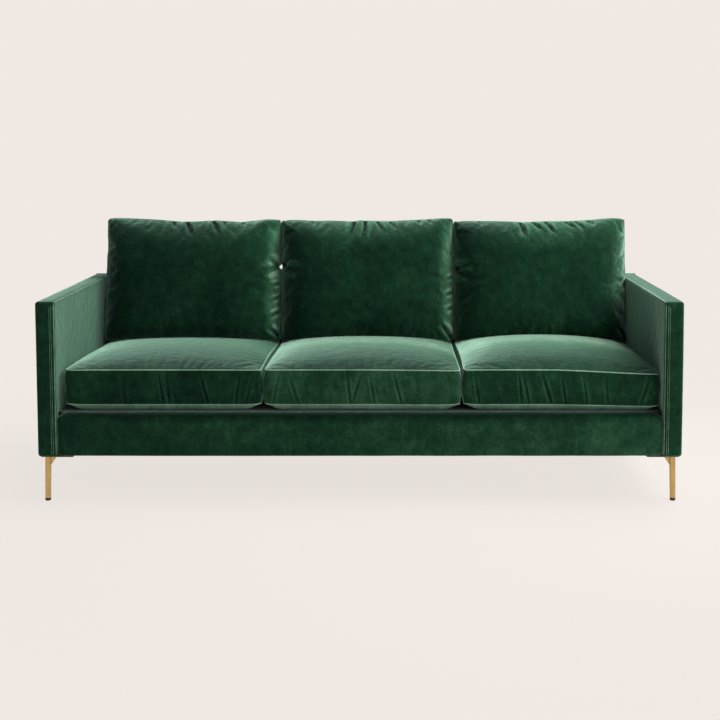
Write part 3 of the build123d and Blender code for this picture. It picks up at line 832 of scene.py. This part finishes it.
# Places across each back cushion's top seam, and how far the seam dips there
TOP_LINE = {
    "left": [(-1.0, 0.002), (-0.86, 0.0), (-0.67, 0.002), (-0.48, 0.005), (-0.28, 0.010), (-0.15, 0.0135),
             (0.0, 0.0130), (0.26, 0.0090), (0.40, 0.0120), (0.55, 0.0150), (0.69, 0.0105), (0.84, 0.005),
             (1.0, 0.006)],
    "middle": [(-1.0, 0.009), (-0.84, 0.007), (-0.62, 0.0105), (-0.40, 0.0095), (-0.18, 0.0130),
               (-0.08, 0.009), (0.09, 0.0105), (0.26, 0.0115), (0.52, 0.0075), (0.69, 0.005), (0.86, 0.001),
               (1.0, 0.001)],
    "right": [(-1.0, 0.0125), (-0.78, 0.011), (-0.5, 0.0115), (-0.27, 0.0135), (-0.21, 0.016), (-0.1, 0.014),
              (0.07, 0.0115), (0.36, 0.011), (0.55, 0.008), (0.74, 0.0025), (0.86, 0.0), (1.0, 0.003)],
}
# Folds of each back cushion, across and up from -1 to 1: from the seam end to the loose end, width and depth
BACK_FOLDS = {
    "left": [
        ((-0.27, 1.0), (-0.16, 0.78), 0.010, 0.0075), ((-0.10, 1.0), (0.02, 0.66), 0.011, 0.0085),
        ((0.21, 1.0), (0.33, 0.68), 0.010, 0.0075), ((0.33, 1.0), (0.42, 0.76), 0.009, 0.0050),
        ((0.52, 1.0), (0.62, 0.84), 0.009, 0.0050), ((1.0, 0.22), (0.86, 0.34), 0.015, 0.0050),
        ((1.0, 0.21), (0.80, 0.10), 0.016, 0.0060), ((1.0, -0.06), (0.90, -0.12), 0.008, 0.0035),
        ((1.0, -0.28), (0.90, -0.36), 0.008, 0.0035), ((1.0, -0.52), (0.88, -0.62), 0.009, 0.0045),
        ((0.98, -0.90), (0.88, -0.76), 0.010, 0.0070), ((-1.0, 0.55), (-0.86, 0.50), 0.010, 0.0050),
        ((-1.0, -0.12), (-0.84, -0.16), 0.010, 0.0060),
    ],
    "middle": [
        ((-0.14, 1.0), (-0.20, 0.66), 0.012, 0.0085), ((-0.02, 1.0), (-0.04, 0.58), 0.011, 0.0080),
        ((0.10, 1.0), (0.20, 0.72), 0.010, 0.0065), ((0.24, 1.0), (0.35, 0.78), 0.010, 0.0065),
        ((0.58, 1.0), (0.64, 0.86), 0.009, 0.0045), ((0.70, 1.0), (0.78, 0.86), 0.009, 0.0045),
        ((-1.0, 0.22), (-0.76, 0.10), 0.016, 0.0065), ((-1.0, 0.24), (-0.84, 0.33), 0.014, 0.0045),
        ((1.0, 0.05), (0.90, -0.02), 0.008, 0.0030), ((1.0, -0.20), (0.88, -0.28), 0.009, 0.0040),
        ((1.0, -0.45), (0.88, -0.52), 0.009, 0.0035), ((0.97, -0.92), (0.84, -0.70), 0.011, 0.0090),
        ((-0.66, 1.0), (-0.62, 0.86), 0.010, 0.0035),
    ],
    "right": [
        ((-0.24, 1.0), (-0.18, 0.64), 0.011, 0.0090), ((-0.12, 1.0), (0.04, 0.74), 0.010, 0.0075),
        ((0.04, 1.0), (0.18, 0.68), 0.010, 0.0060), ((0.24, 1.0), (0.42, 0.80), 0.009, 0.0065),
        ((0.38, 1.0), (0.52, 0.78), 0.009, 0.0060), ((0.52, 1.0), (0.64, 0.86), 0.009, 0.0045),
        ((-0.74, 1.0), (-0.66, 0.84), 0.010, 0.0040), ((-1.0, 0.18), (-0.82, 0.20), 0.014, 0.0050),
        ((-1.0, 0.16), (-0.80, 0.02), 0.016, 0.0060), ((1.0, 0.70), (0.88, 0.62), 0.009, 0.0045),
        ((1.0, 0.40), (0.90, 0.34), 0.009, 0.0045), ((1.0, -0.06), (0.84, 0.00), 0.013, 0.0045),
        ((1.0, -0.08), (0.82, -0.20), 0.015, 0.0055), ((0.97, -0.93), (0.86, -0.76), 0.010, 0.0050),
        ((0.10, -1.0), (0.06, -0.74), 0.010, 0.0030),
    ],
}


def back_blank(name, place, half):
    """The points of a back cushion before it swells, lying flat round its own middle."""
    s = sizes()
    u, v, w = place.T
    front = w > 0
    x, y = u * half[0], v * half[1]
    y = y - np.interp(u, *zip(*TOP_LINE[name])) * smooth_step(0.0, 1.0, v)
    x = x - np.sign(u) * s.back_draw_in * (1.0 - v ** 4) * np.abs(u) ** 3
    from_seam = half[0] * (1.0 - np.abs(u)) / REAR_BULGE_PLACE
    bulge = np.where(front, 0.0, REAR_BULGE * from_seam * np.exp(1.0 - from_seam))
    x = x + np.sign(u) * bulge * (1.0 - smooth_step(0.95, 1.0, np.abs(v)))
    side, splay = BACK_SPLAY[name]
    x = x + side * splay * smooth_step(0.9, -1.0, v) * np.clip(side * u, 0.0, 1.0) ** 2
    for end, level, depth, length in SIDE_PINCHES[name]:
        pinch = depth * np.exp(-((v - level) / length) ** 2) * np.where(front, 1.0, REAR_PINCH)
        x = x - end * pinch * np.clip(end * u, 0.0, 1.0) ** 8
    x, y = round_corners(x, y, half[0], half[1], BACK_CORNER)
    upright = np.where(v > 0, fullness(v, power=3.4, share=0.48), fullness(v, power=6.0, share=0.5))
    full = fullness(u, power=3.6, share=0.46) * upright
    y = y - np.where(front, s.back_sag, 0.0) * full * smooth_step(-0.30, -0.85, v)
    z = w * (half[2] + BACK_FILLED * np.where(front, s.back_front_swell, s.back_rear_swell) * full)
    return np.stack([x, y, z], axis=1)


def press_sides(name, flat, u, v, w, half_x):
    """Presses the rear panel's sides on the neighbours, apart from an opening, and keeps them in line."""
    rear = w < REAR_PANEL
    from_seam = half_x * (1.0 - np.abs(u))
    pressed = rear * smooth_step(0.0, PRESS_START, from_seam)
    pressed = pressed * (1.0 - smooth_step(PRESS_FADE, PRESS_END, from_seam))
    pressed = pressed * (1.0 - smooth_step(0.95, 1.0, np.abs(v)))
    opening = np.exp(-((v - OPENING_PLACE) / OPENING_LENGTH) ** 2) * (OPEN_SIDE[name] * u > 0)
    to_reach = np.maximum(0.0, half_x + REAR_REACH - np.abs(flat[:, 0]))
    flat[:, 0] += np.sign(u) * pressed * (1.0 - opening) * to_reach
    widest = half_x + np.where(rear, REAR_REACH, FRONT_REACH)
    side, splay = BACK_SPLAY[name]
    splayed = splay * smooth_step(0.9, -1.0, v)
    flat[:, 0] = np.clip(flat[:, 0], -widest - splayed * (side < 0), widest + splayed * (side > 0))


def make_back_cushion(name, centre_x):
    """A knife-edge cushion: two panels sewn along one welted seam, plump, with gathers at the seam."""
    s = sizes()
    up = np.array([0.0, math.sin(s.back_lean), math.cos(s.back_lean)])
    out = np.array([0.0, -math.cos(s.back_lean), math.sin(s.back_lean)])
    foot = np.array([centre_x, back_low.y, back_low.z]) + out * (s.back_rear_swell + BACK_CLEARANCE)
    foot[0] += BACK_SLIDE[name]
    bottom = cushion_low.z - s.back_droop
    half_up = (cushion_high.z - bottom) / up[2] / 2
    middle = foot + up * ((bottom - foot[2]) / up[2] + half_up)
    half = (BACK_HALF[name], half_up, BACK_SEAM)
    bm, place = grid_cushion(half, s.back_step, 1)
    write_points(bm, back_blank(name, place, half))
    store_places(bm, place)
    on_seam = np.abs(place[:, :2]).max(axis=1) > ON_SEAM
    swell(bm, on_seam, pressure=4.0, grow=0.03, frames=20, cap=0.016)
    bm = finer(bm)
    u, v, w = recall_places(bm)
    edge = np.maximum(np.abs(u), np.abs(v))
    flat = read_points(bm)
    folds = np.zeros(len(flat))
    for start, end, width, depth in BACK_FOLDS[name]:
        line = tuple((across * half[0], along * half[1]) for across, along in (start, end))
        folds += crease(flat[:, 0], flat[:, 1], line, s.fold_width * width, s.fold_depth * depth)
    raised = folds * np.where(w > 0, 1.0, REAR_FOLDS) * smooth_step(1.0, 0.985, edge)
    flat = flat + read_normals(bm) * raised[:, None]
    flat[:, 2] = np.maximum(flat[:, 2], -s.back_rear_swell)
    press_sides(name, flat, u, v, w, half[0])
    points = middle + flat[:, :1] * np.array([1.0, 0, 0]) + flat[:, 1:2] * up + flat[:, 2:] * out
    seat = bpy.data.objects[f"seat_cushion_{name}"]
    rest_on(seat, points, below=cushion_low.z + BACK_SEAT_BAND, clearance=BACK_SEAT_CLEARANCE)
    write_points(bm, points)
    # Painted light and shade: the right edge lit from the right, the upper edge as sheen, highlights on fold
    # ridges, shade in their valleys and in the gaps behind the sides, and the welt painted pale as a
    # highlight
    lit_right_edge = smooth_step(0.80, 0.97, u) * (1.0 - smooth_step(0.75, 1.0, np.abs(v)))
    painted_light = BACK_TOP_SHEEN * smooth_step(0.88, 0.96, v) + BACK_SHADE + BACK_RIGHT_EDGE_LIGHT[name] * lit_right_edge
    painted_light += fold_highlight_and_shade(folds, pale=0.30, ridge=0.0022, dark=0.12, valley=0.006)
    painted_light += BACK_REAR_SIDE_SHADE * (w < REAR_PANEL) * smooth_step(0.88, 0.95, np.abs(u))
    seam = loop_round(points, edge > ON_SEAM, middle, (1.0 / half[0], 0, 0), up / half[1])
    add_cord(bm, seam, s.welt * BACK_WELT, True)
    painted_light = np.concatenate([painted_light, np.full(len(bm.verts) - len(painted_light), SEAM_HIGHLIGHT)])
    piece = add_piece(f"back_cushion_{name}", bm, velvet(), f"back_cushion_{name}",
                      [f"back_cushion_cover_{name}", f"back_cushion_fill_{name}"])
    paint_light_and_shade(piece, painted_light)


# Covers of the frame

# Spacing of the meshes of the arms, the rail, the back and the cloths
ARM_STEP = 0.016
RAIL_STEP = 0.022
PANEL_STEP = 0.03
LINING_STEP = 0.05
# Painted light and shade: how much paler, or darker below 0, each arm's inner face is painted for the light
# from the right, how dark its rear part is painted as the back cushions' shadow, and how dark the top as
# painted shade
ARM_INNER_LIGHT = {"left": 0.12, "right": -0.10}
ARM_REAR_SHADOW = -0.42
ARM_TOP_SHADE = -0.22
# How far the rail's upper edge leans back as a share of its roll, and where its top is painted dark as the
# seat cushions' shadow
RAIL_LEAN = 0.8
RAIL_SHADE_START = 0.020
RAIL_SHADE_END = 0.004
# Painted light and shade: how pale the rail is painted in its middle, how much more so at its right end
# nearer the lamps, and how dark at its upper edge as painted shadow
RAIL_LIGHT = 0.05
RAIL_RIGHT_LIGHT = 0.08
RAIL_EDGE_SHADOW = -0.45
# How far the rows of stitches lie from an arm's inner edge, and how far the seam stops before the back's rear
STITCH_ROWS = (0.0105, 0.0160)
SEAM_END = 0.09
SEAM_RUNS = 40


def make_arm(side, sign):
    """A slim padded arm with a seam and two rows of stitches along its inner front and top edges."""
    s = sizes()
    low, high = arm_low, arm_high
    bm = rounded_box(low, high, s.arm_edge, ARM_STEP)
    soften(bm, amount=0.0007, scale=7.0, seed=3.0 if sign > 0 else 5.0)
    cover = len(bm.verts)
    on_edge = s.arm_edge * (1.0 - math.sqrt(0.5)) - 0.2 * s.seam_cord
    seam_x, seam_y, seam_z = low.x + on_edge, low.y + on_edge, high.z - on_edge
    rear = back_high.y - SEAM_END
    seams = [[(seam_x, seam_y, low.z + s.arm_edge), (seam_x, seam_y, high.z - s.arm_edge)],
             [(seam_x, low.y + s.arm_edge, seam_z), (seam_x, rear, seam_z)]]
    for start, end in seams:
        run = [Vector(start).lerp(Vector(end), step / SEAM_RUNS) for step in range(SEAM_RUNS + 1)]
        add_cord(bm, run, s.seam_cord, False)
    for gap in STITCH_ROWS:
        x = low.x + gap
        add_stitches(bm, (x, low.y, low.z + s.arm_edge), (x, low.y, high.z - gap), s.stitch)
        add_stitches(bm, (x, low.y + gap, high.z), (x, rear, high.z), s.stitch)
    if sign < 0:
        bmesh.ops.scale(bm, vec=(-1, 1, 1), verts=bm.verts)
        bmesh.ops.reverse_faces(bm, faces=bm.faces)
    # Painted light and shade on the cover; the seam ridges and stitches are painted pale as highlights
    normals = read_normals(bm)[:cover]
    run_back = read_points(bm)[:cover, 1]
    inner = smooth_step(0.6, 0.9, -sign * normals[:, 0])
    painted_light = inner * (ARM_INNER_LIGHT[side] + ARM_REAR_SHADOW * smooth_step(0.12, 0.25, run_back))
    painted_light += ARM_TOP_SHADE * smooth_step(0.6, 0.9, normals[:, 2])
    painted_light = np.concatenate([painted_light, np.full(len(bm.verts) - cover, SEAM_HIGHLIGHT)])
    piece = add_piece(f"arm_{side}", bm, velvet(), "frame", [f"arm_cover_{side}"])
    paint_light_and_shade(piece, painted_light)


def make_front_panel():
    """The padded front rail cover, with round upper corners and a rolled edge, and a black lining behind it,
    which darkens the notch at its round corners as painted shade.
    """
    s = sizes()
    bm = rounded_box(rail_low, rail_high, s.rail_edge, RAIL_STEP)
    soften(bm, amount=0.0012, scale=6.0, seed=8.0)
    points = read_points(bm)
    middle = (rail_low.z + rail_high.z) / 2
    half_x, half_z = (rail_high.x - rail_low.x) / 2, (rail_high.z - rail_low.z) / 2
    x, z = round_corners(points[:, 0], points[:, 2] - middle, half_x, half_z, s.rail_corner)
    upper = points[:, 2] > middle
    points[:, 0] = np.where(upper, x, points[:, 0])
    points[:, 2] = np.where(upper, z + middle, points[:, 2])
    rise = np.clip((points[:, 2] - rail_high.z + s.rail_roll) / s.rail_roll, 0.0, 1.0)
    behind = (points[:, 1] - rail_low.y) / (rail_high.y - rail_low.y)
    points[:, 1] += RAIL_LEAN * s.rail_roll * (1.0 - np.sqrt(1.0 - rise ** 2)) * (1.0 - behind)
    write_points(bm, points)
    piece = add_piece("front_panel", bm, velvet(), "frame", ["front_rail_cover"])
    # Painted light, paler towards the right, and painted shadow along the top edge
    shaded = smooth_step(rail_high.z - RAIL_SHADE_START, rail_high.z - RAIL_SHADE_END, points[:, 2])
    paint_light_and_shade(piece, RAIL_LIGHT + RAIL_RIGHT_LIGHT * points[:, 0] / half_x + RAIL_EDGE_SHADOW * shaded)
    # The lining and the strip that closes the cover's upper edge are black, so that the notch at the round
    # corners reads as a dark recess: a black sheet standing in for shade
    beside, sunk, lifted, below = 0.002, 0.007, 0.001, 0.0195
    lining = rounded_box((rail_low.x - beside, rail_low.y + sunk, rail_low.z + lifted),
                         (rail_high.x + beside, rail_high.y, rail_high.z - below), 0.001, LINING_STEP)
    depth, height, gap = 0.0025, 0.024, 0.0003
    join(lining, rounded_box((rail_low.x, rail_high.y - depth, rail_high.z - height),
                             (rail_high.x, rail_high.y - gap, rail_high.z - gap), 0.0005, LINING_STEP))
    add_piece("rail_shade_lining", lining, lining_cloth(), "frame", crisp=True)


def make_inside_back():
    """The padded back, between the arms: a leaning front, a rolled top edge and a level top."""
    s = sizes()
    bm = bmesh.new()
    top_front = back_low.y + math.tan(s.back_lean) * (back_high.z - back_low.z)
    profile = [(back_low.y, back_low.z), (top_front, back_high.z), (back_high.y, back_high.z),
               (back_high.y, back_low.z)]
    extrude(bm, [(back_low.x, y, z) for y, z in profile], (back_high.x - back_low.x, 0, 0))
    ridge = [edge for edge in bm.edges
             if all(vert.co.z > back_high.z - 1e-4 for vert in edge.verts)
             and abs(edge.verts[0].co.x - edge.verts[1].co.x) > 0.5]
    bevel(bm, ridge, radius=0.014, segments=5)
    cut_even(bm, (PANEL_STEP, 0, 0))
    piece = add_piece("inside_back", bm, velvet(), "frame", ["inside_back_cover"], crisp=True)


def make_outside_back():
    """A flat covered panel with a welt round it."""
    s = sizes()
    bm = rounded_box(panel_low, panel_high, 0.0024, PANEL_STEP, segments=3)
    inset, sunk, runs = 0.006, 0.0006, 50
    left, right = panel_low.x + inset, panel_high.x - inset
    low, high = panel_low.z + inset, panel_high.z - inset
    y = panel_high.y - sunk
    corners = [Vector((x, y, z)) for x, z in ((left, low), (right, low), (right, high), (left, high))]
    welt = []
    for here, ahead in zip(corners, corners[1:] + corners[:1]):
        welt += [here.lerp(ahead, step / runs) for step in range(runs)]
    add_cord(bm, welt, s.welt, True)
    piece = add_piece("outside_back", bm, velvet(), "frame", ["outside_back_panel"], crisp=True)


def make_cloth(name, low, high, finish, node):
    """A thin stretched cloth, slightly slack between what holds it."""
    bm = box_between(low, high)
    cut_even(bm, (PANEL_STEP, PANEL_STEP, 0))
    points = read_points(bm)
    slack = waves(points, scale=9.0, seed=4.0) * 0.0005
    edge_x = np.minimum(points[:, 0] - low.x, high.x - points[:, 0])
    edge_y = np.minimum(points[:, 1] - low.y, high.y - points[:, 1])
    points[:, 2] += slack * smooth_step(0.0, 0.05, np.minimum(edge_x, edge_y))
    write_points(bm, points)
    piece = add_piece(name, bm, finish, "frame", [node], crisp=True)


# Legs

# A leg stands this far in from its plate's outer corner, and spreads a little towards the floor
LEG_IN_X = 0.018
LEG_IN_Y = 0.028
LEG_SPREAD = math.radians(1.0)
# The plate's thickness, corners and rims
PLATE_THICKNESS = 0.003
PLATE_CORNER = 0.006
FINE_RIM = 0.0005
# The gusset: its length under the plate, its blunt end and that end's height, its drop and its thickness
GUSSET_LENGTH = 0.020
GUSSET_BLUNT = 0.0185
GUSSET_LIP = 0.005
GUSSET_DROP = 0.033
GUSSET_THICKNESS = 0.004
# The gusset starts inside the tube, at this share of its radius, and its lower end lies a little further in
GUSSET_START = 0.9
GUSSET_TIP = 0.0002
# Places of a plate's screws, in from its edges, and their heads' sizes
SCREW_PLACES = tuple(itertools.product((0.013, 0.047), (0.011, 0.053)))
SCREW_HEIGHT = 0.0028
SCREW_SUNK = 0.0006
SCREW_RADIUS = 0.0046
SCREW_FACE = 0.0036
SCREW_SOCKET = 0.0014
# How much slimmer a glide is than the leg's tip at the floor, and how much wider under the leg
GLIDE_SLIM = 0.0004
GLIDE_WIDE = 0.0005

plate_bottom = leg_high.z - PLATE_THICKNESS


def turn_to(start, end):
    """Places a shape that stands on the origin along +Z on a line from start to end."""
    line = Vector(end) - Vector(start)
    return Matrix.Translation(start) @ line.to_track_quat("Z", "Y").to_matrix().to_4x4()


def add_round(bm, start, end, low_radius, high_radius, sides, rounding):
    """Adds a tapered rod with softened rims."""
    length = (Vector(end) - Vector(start)).length
    place = turn_to(start, end) @ Matrix.Translation((0, 0, length / 2))
    rod = bmesh.new()
    bmesh.ops.create_cone(rod, cap_ends=True, segments=sides, radius1=low_radius, radius2=high_radius,
                          depth=length)
    bevel(rod, level_edges(rod), rounding, segments=3)
    bmesh.ops.transform(rod, matrix=place, verts=rod.verts)
    join(bm, rod)


def leg_line(sign_x, sign_y):
    """A leg's line: its point under the plate, and its point on the floor."""
    top = Vector((sign_x * (leg_high.x - LEG_IN_X), sign_y * (-leg_low.y - LEG_IN_Y), plate_bottom))
    spread = math.tan(LEG_SPREAD) * plate_bottom
    return top, Vector((top.x + sign_x * spread, top.y + sign_y * spread, 0.0))


def make_leg(end, side, sign_x, sign_y, finish, plate_finish):
    """A slim tapered tube under a thin plate, with a triangular gusset towards the middle."""
    s = sizes()
    top, floor_point = leg_line(sign_x, sign_y)
    tip = top.lerp(floor_point, 1.0 - glide_top / plate_bottom)
    bm = bmesh.new()
    add_round(bm, tip, top, s.leg_tip, s.leg_top, sides=40, rounding=0.0006)
    plate_x = sorted((sign_x * leg_low.x, sign_x * leg_high.x))
    plate_y = sorted((sign_y * -leg_low.y, sign_y * -leg_high.y))
    plate = box_between((plate_x[0], plate_y[0], plate_bottom), (plate_x[1], plate_y[1], leg_high.z))
    level = set(level_edges(plate))
    bevel(plate, [edge for edge in plate.edges if edge not in level], PLATE_CORNER, segments=4)
    bevel(plate, level_edges(plate), FINE_RIM, segments=2)
    for face in plate.faces:
        face.material_index = 1
    join(bm, plate)
    gusset = bmesh.new()
    inner = top.x - sign_x * s.leg_top * GUSSET_START
    outline = [(inner, plate_bottom), (inner - sign_x * GUSSET_LENGTH, plate_bottom),
               (inner - sign_x * GUSSET_BLUNT, plate_bottom - GUSSET_LIP),
               (inner + sign_x * GUSSET_TIP, plate_bottom - GUSSET_DROP)]
    face_y = top.y - GUSSET_THICKNESS / 2
    extrude(gusset, [(x, face_y, z) for x, z in outline], (0, GUSSET_THICKNESS, 0))
    bevel(gusset, gusset.edges[:], FINE_RIM, segments=2)
    join(bm, gusset)
    piece = add_piece(f"leg_tube_{end}_{side}", bm, finish, "frame", [f"leg_{end}_{side}"],
                      crisp=True)
    piece.data.materials.append(plate_finish)


def make_screws(finish):
    """Four button screws with a round socket through each leg plate."""
    bm = bmesh.new()
    for sign_x, sign_y, (in_x, in_y) in itertools.product((-1, 1), (-1, 1), SCREW_PLACES):
        head = Vector((sign_x * (leg_low.x + in_x), sign_y * (-leg_low.y - in_y), plate_bottom + SCREW_SUNK))
        tip = head - Vector((0, 0, SCREW_HEIGHT))
        screw = bmesh.new()
        add_round(screw, head, tip, SCREW_RADIUS, SCREW_FACE, sides=20, rounding=FINE_RIM)
        ends = [flat for flat in screw.faces if flat.normal.z < -0.99 and len(flat.verts) > 8]
        bmesh.ops.inset_individual(screw, faces=ends, thickness=SCREW_SOCKET)
        socket = {vert for flat in ends for vert in flat.verts}
        bmesh.ops.translate(screw, vec=(0, 0, SCREW_SOCKET), verts=list(socket))
        join(bm, screw)
    add_piece("leg_screws", bm, finish, "frame", crisp=True)


def make_glides(finish):
    """A black foot under each leg."""
    s = sizes()
    bm = bmesh.new()
    for sign_x, sign_y in itertools.product((-1, 1), (-1, 1)):
        foot = leg_line(sign_x, sign_y)[1]
        head = Vector((foot.x, foot.y, glide_top))
        add_round(bm, foot, head, s.leg_tip - GLIDE_SLIM, s.leg_tip + GLIDE_WIDE, sides=36, rounding=0.0018)
    add_piece("glides", bm, finish, "frame", ["leg_glides"], crisp=True)


# Studio


def make_floor():
    """A pale floor that keeps the sofa's shadow and fades into an even background."""
    c = colours()
    bm = bmesh.new()
    bmesh.ops.create_grid(bm, x_segments=1, y_segments=1, size=14.0)
    mesh = bpy.data.meshes.new("floor")
    bm.to_mesh(mesh)
    bm.free()
    floor = bpy.data.objects.new("floor", mesh)
    bpy.context.scene.collection.objects.link(floor)
    finish = Finish("studio_floor")
    finish.set(Base_Color=c.studio, Roughness=0.9, Specular_IOR_Level=0.1)
    plain = finish.add("ShaderNodeEmission", {"Color": c.studio, "Strength": 1.0}).outputs[0]
    away = finish.add("ShaderNodeVectorMath", {0: finish.coords}, operation="LENGTH").outputs["Value"]
    fade = finish.add("ShaderNodeMapRange", {"Value": away, "From Min": 1.1, "From Max": 2.6, "To Min": 0.91,
                                             "To Max": 1.0}, interpolation_type="SMOOTHSTEP").outputs[0]
    mix = finish.add("ShaderNodeMixShader", {0: finish.math("MULTIPLY", fade, finish.seen()),
                                             1: finish.shader.outputs[0], 2: plain})
    finish.feed(finish.tree.nodes["Material Output"].inputs["Surface"], mix.outputs[0])
    mesh.materials.append(finish.material)


def make_lights():
    """A large soft key from the upper right, a soft top light, and a room that is brighter on the right."""
    c = colours()
    world = bpy.data.worlds.new("studio")
    bpy.context.scene.world = world
    world.use_nodes = True
    world.node_tree.nodes.clear()
    nodes = Nodes(world.node_tree)
    direction = nodes.add("ShaderNodeTexCoord").outputs["Generated"]
    sideways = nodes.add("ShaderNodeSeparateXYZ", {0: direction}).outputs["X"]
    strength = nodes.add("ShaderNodeMapRange", {"Value": sideways, "From Min": -0.35, "From Max": 1.0,
                                                "To Min": 0.07, "To Max": 1.15}).outputs[0]
    room = nodes.add("ShaderNodeBackground", {"Color": (0.93, 0.97, 1.0, 1.0), "Strength": strength})
    plain = nodes.add("ShaderNodeBackground", {"Color": c.studio})
    mix = nodes.add("ShaderNodeMixShader", {0: nodes.seen(), 1: room.outputs[0], 2: plain.outputs[0]})
    nodes.add("ShaderNodeOutputWorld", {"Surface": mix.outputs[0]})
    add_lamp("key", place=(2.6, -1.0, 2.5), aim=(0.0, 0.0, 0.4), width=1.6, power=66.0)
    add_lamp("top", place=(1.8, 0.5, 2.8), aim=(0.0, 0.0, 0.4), width=1.6, power=80.0)


def add_lamp(name, place, aim, width, power):
    lamp = bpy.data.lights.new(name, "AREA")
    lamp.size = width
    lamp.energy = power
    holder = bpy.data.objects.new(name, lamp)
    holder.location = place
    holder.rotation_euler = (Vector(aim) - Vector(place)).to_track_quat("-Z", "Y").to_euler()
    bpy.context.scene.collection.objects.link(holder)


def make_camera():
    """The photograph's view: from above the back's top, a little to the right, slightly downwards."""
    camera = bpy.data.cameras.new("camera")
    camera.sensor_width = 36.0
    camera.lens = 66.45
    camera.shift_x = -0.0482
    camera.shift_y = -0.163
    holder = bpy.data.objects.new("camera", camera)
    holder.location = (0.112, -4.6625, 1.1854)
    holder.rotation_euler = (math.radians(90.0 - 4.6), 0.0, 0.0)
    bpy.context.scene.collection.objects.link(holder)
    bpy.context.scene.camera = holder
    bpy.context.scene.view_settings.view_transform = "Standard"


# Operators


class SOFA_OT_frame(bpy.types.Operator):
    """Gives the inner timber, straps, pads and bolts their finishes"""

    bl_idname = "sofa.frame"
    bl_label = "Frame finishes"

    def execute(self, context):
        c = colours()
        finishes = {
            "hardboard": fleece("hardboard", c.hardboard, scale=220.0, distance=0.0003),
            "webbing": woven_cloth("webbing", c.webbing, scale=260.0),
            "felt": fleece("felt", c.felt, scale=160.0, distance=0.001),
            "foam": fleece("foam", c.foam, scale=320.0, distance=0.0008),
            "fibre_fill": fleece("fibre_fill", c.fibre, scale=70.0, distance=0.003),
            "bolt_steel": brushed_metal("bolt_steel", c.steel, stretch=(30.0, 400.0, 400.0), rough_low=0.25),
        }
        grains = [board_grain(f"timber_{axis}", c.timber, number) for number, axis in enumerate("xyz")]
        slots = {row["node"]: row["material_slot"] for row in frame["record"]["subparts"]}
        for node, piece in frame["nodes"].items():
            low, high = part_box(node)
            spans = list(high - low)
            finish = finishes.get(slots[node]) or grains[spans.index(max(spans))]
            for place in piece.material_slots:
                place.material = finish
        return {"FINISHED"}


class SOFA_OT_covers(bpy.types.Operator):
    """Makes the arms, the front panel and the back covers"""

    bl_idname = "sofa.covers"
    bl_label = "Arms and covers"

    def execute(self, context):
        for side, sign in SIDES:
            make_arm(side, sign)
        make_front_panel()
        make_inside_back()
        make_outside_back()
        return {"FINISHED"}


class SOFA_OT_linings(bpy.types.Operator):
    """Makes the deck lining and the dust cloth"""

    bl_idname = "sofa.linings"
    bl_label = "Linings"

    def execute(self, context):
        lining = woven_cloth("deck_lining", colours().lining, scale=300.0)
        make_cloth("deck_lining", deck_low, deck_high, lining, "deck_cloth")
        make_cloth("dust_cloth", dust_low, dust_high, lining_cloth(), "dust_cover")
        return {"FINISHED"}


class SOFA_OT_seat_cushions(bpy.types.Operator):
    """Makes the boxed seat cushions"""

    bl_idname = "sofa.seat_cushions"
    bl_label = "Seat cushions"

    def execute(self, context):
        for index, name in enumerate(SEATS):
            make_seat_cushion(name, (index - 1) * seat_pitch)
        return {"FINISHED"}


class SOFA_OT_back_cushions(bpy.types.Operator):
    """Makes the knife-edge back cushions, which rest on the seat cushions"""

    bl_idname = "sofa.back_cushions"
    bl_label = "Back cushions"

    def execute(self, context):
        for index, name in enumerate(SEATS):
            make_back_cushion(name, (index - 1) * seat_pitch)
        return {"FINISHED"}


class SOFA_OT_legs(bpy.types.Operator):
    """Makes the brass legs, their screws and their black glides"""

    bl_idname = "sofa.legs"
    bl_label = "Legs"

    def execute(self, context):
        c = colours()
        brass = brushed_metal("brass", c.brass, stretch=(260.0, 260.0, 9.0), rough_low=0.22)
        plate = moulded_plastic("dark_plate", c.plate)
        for (end, sign_y), (side, sign_x) in itertools.product(ENDS, SIDES):
            make_leg(end, side, sign_x, sign_y, brass, plate)
        make_screws(brushed_metal("screw_steel", c.steel, stretch=(300.0, 300.0, 300.0), rough_low=0.3))
        make_glides(moulded_plastic("glide_plastic", c.glide))
        return {"FINISHED"}


class SOFA_OT_stage(bpy.types.Operator):
    """Makes the pale floor, the studio light and the camera"""

    bl_idname = "sofa.stage"
    bl_label = "Studio"

    def execute(self, context):
        make_floor()
        make_lights()
        make_camera()
        return {"FINISHED"}


OPERATORS = (SOFA_OT_frame, SOFA_OT_covers, SOFA_OT_linings, SOFA_OT_seat_cushions, SOFA_OT_back_cushions,
             SOFA_OT_legs, SOFA_OT_stage)


class SOFA_PT_sidebar(bpy.types.Panel):
    """Lists the sofa's sizes, colours and steps"""

    bl_idname = "SOFA_PT_sidebar"
    bl_label = "Velvet sofa"
    bl_space_type = "VIEW_3D"
    bl_region_type = "UI"
    bl_category = "Sofa"

    def draw(self, context):
        for group in (context.scene.sofa_sizes, context.scene.sofa_colours):
            box = self.layout.box()
            for name in group.__annotations__:
                box.prop(group, name)
        for operator in OPERATORS:
            self.layout.operator(operator.bl_idname)


CLASSES = (SofaSizes, SofaColours, *OPERATORS, SOFA_PT_sidebar)


def register():
    for made in CLASSES:
        bpy.utils.register_class(made)
    bpy.types.Scene.sofa_sizes = PointerProperty(type=SofaSizes)
    bpy.types.Scene.sofa_colours = PointerProperty(type=SofaColours)


def unregister():
    del bpy.types.Scene.sofa_colours
    del bpy.types.Scene.sofa_sizes
    for made in reversed(CLASSES):
        bpy.utils.unregister_class(made)


def main():
    register()
    bpy.ops.sofa.frame()
    bpy.ops.sofa.covers()
    bpy.ops.sofa.linings()
    bpy.ops.sofa.seat_cushions()
    bpy.ops.sofa.back_cushions()
    bpy.ops.sofa.legs()
    bpy.ops.sofa.stage()


if __name__ == "__main__":
    main()
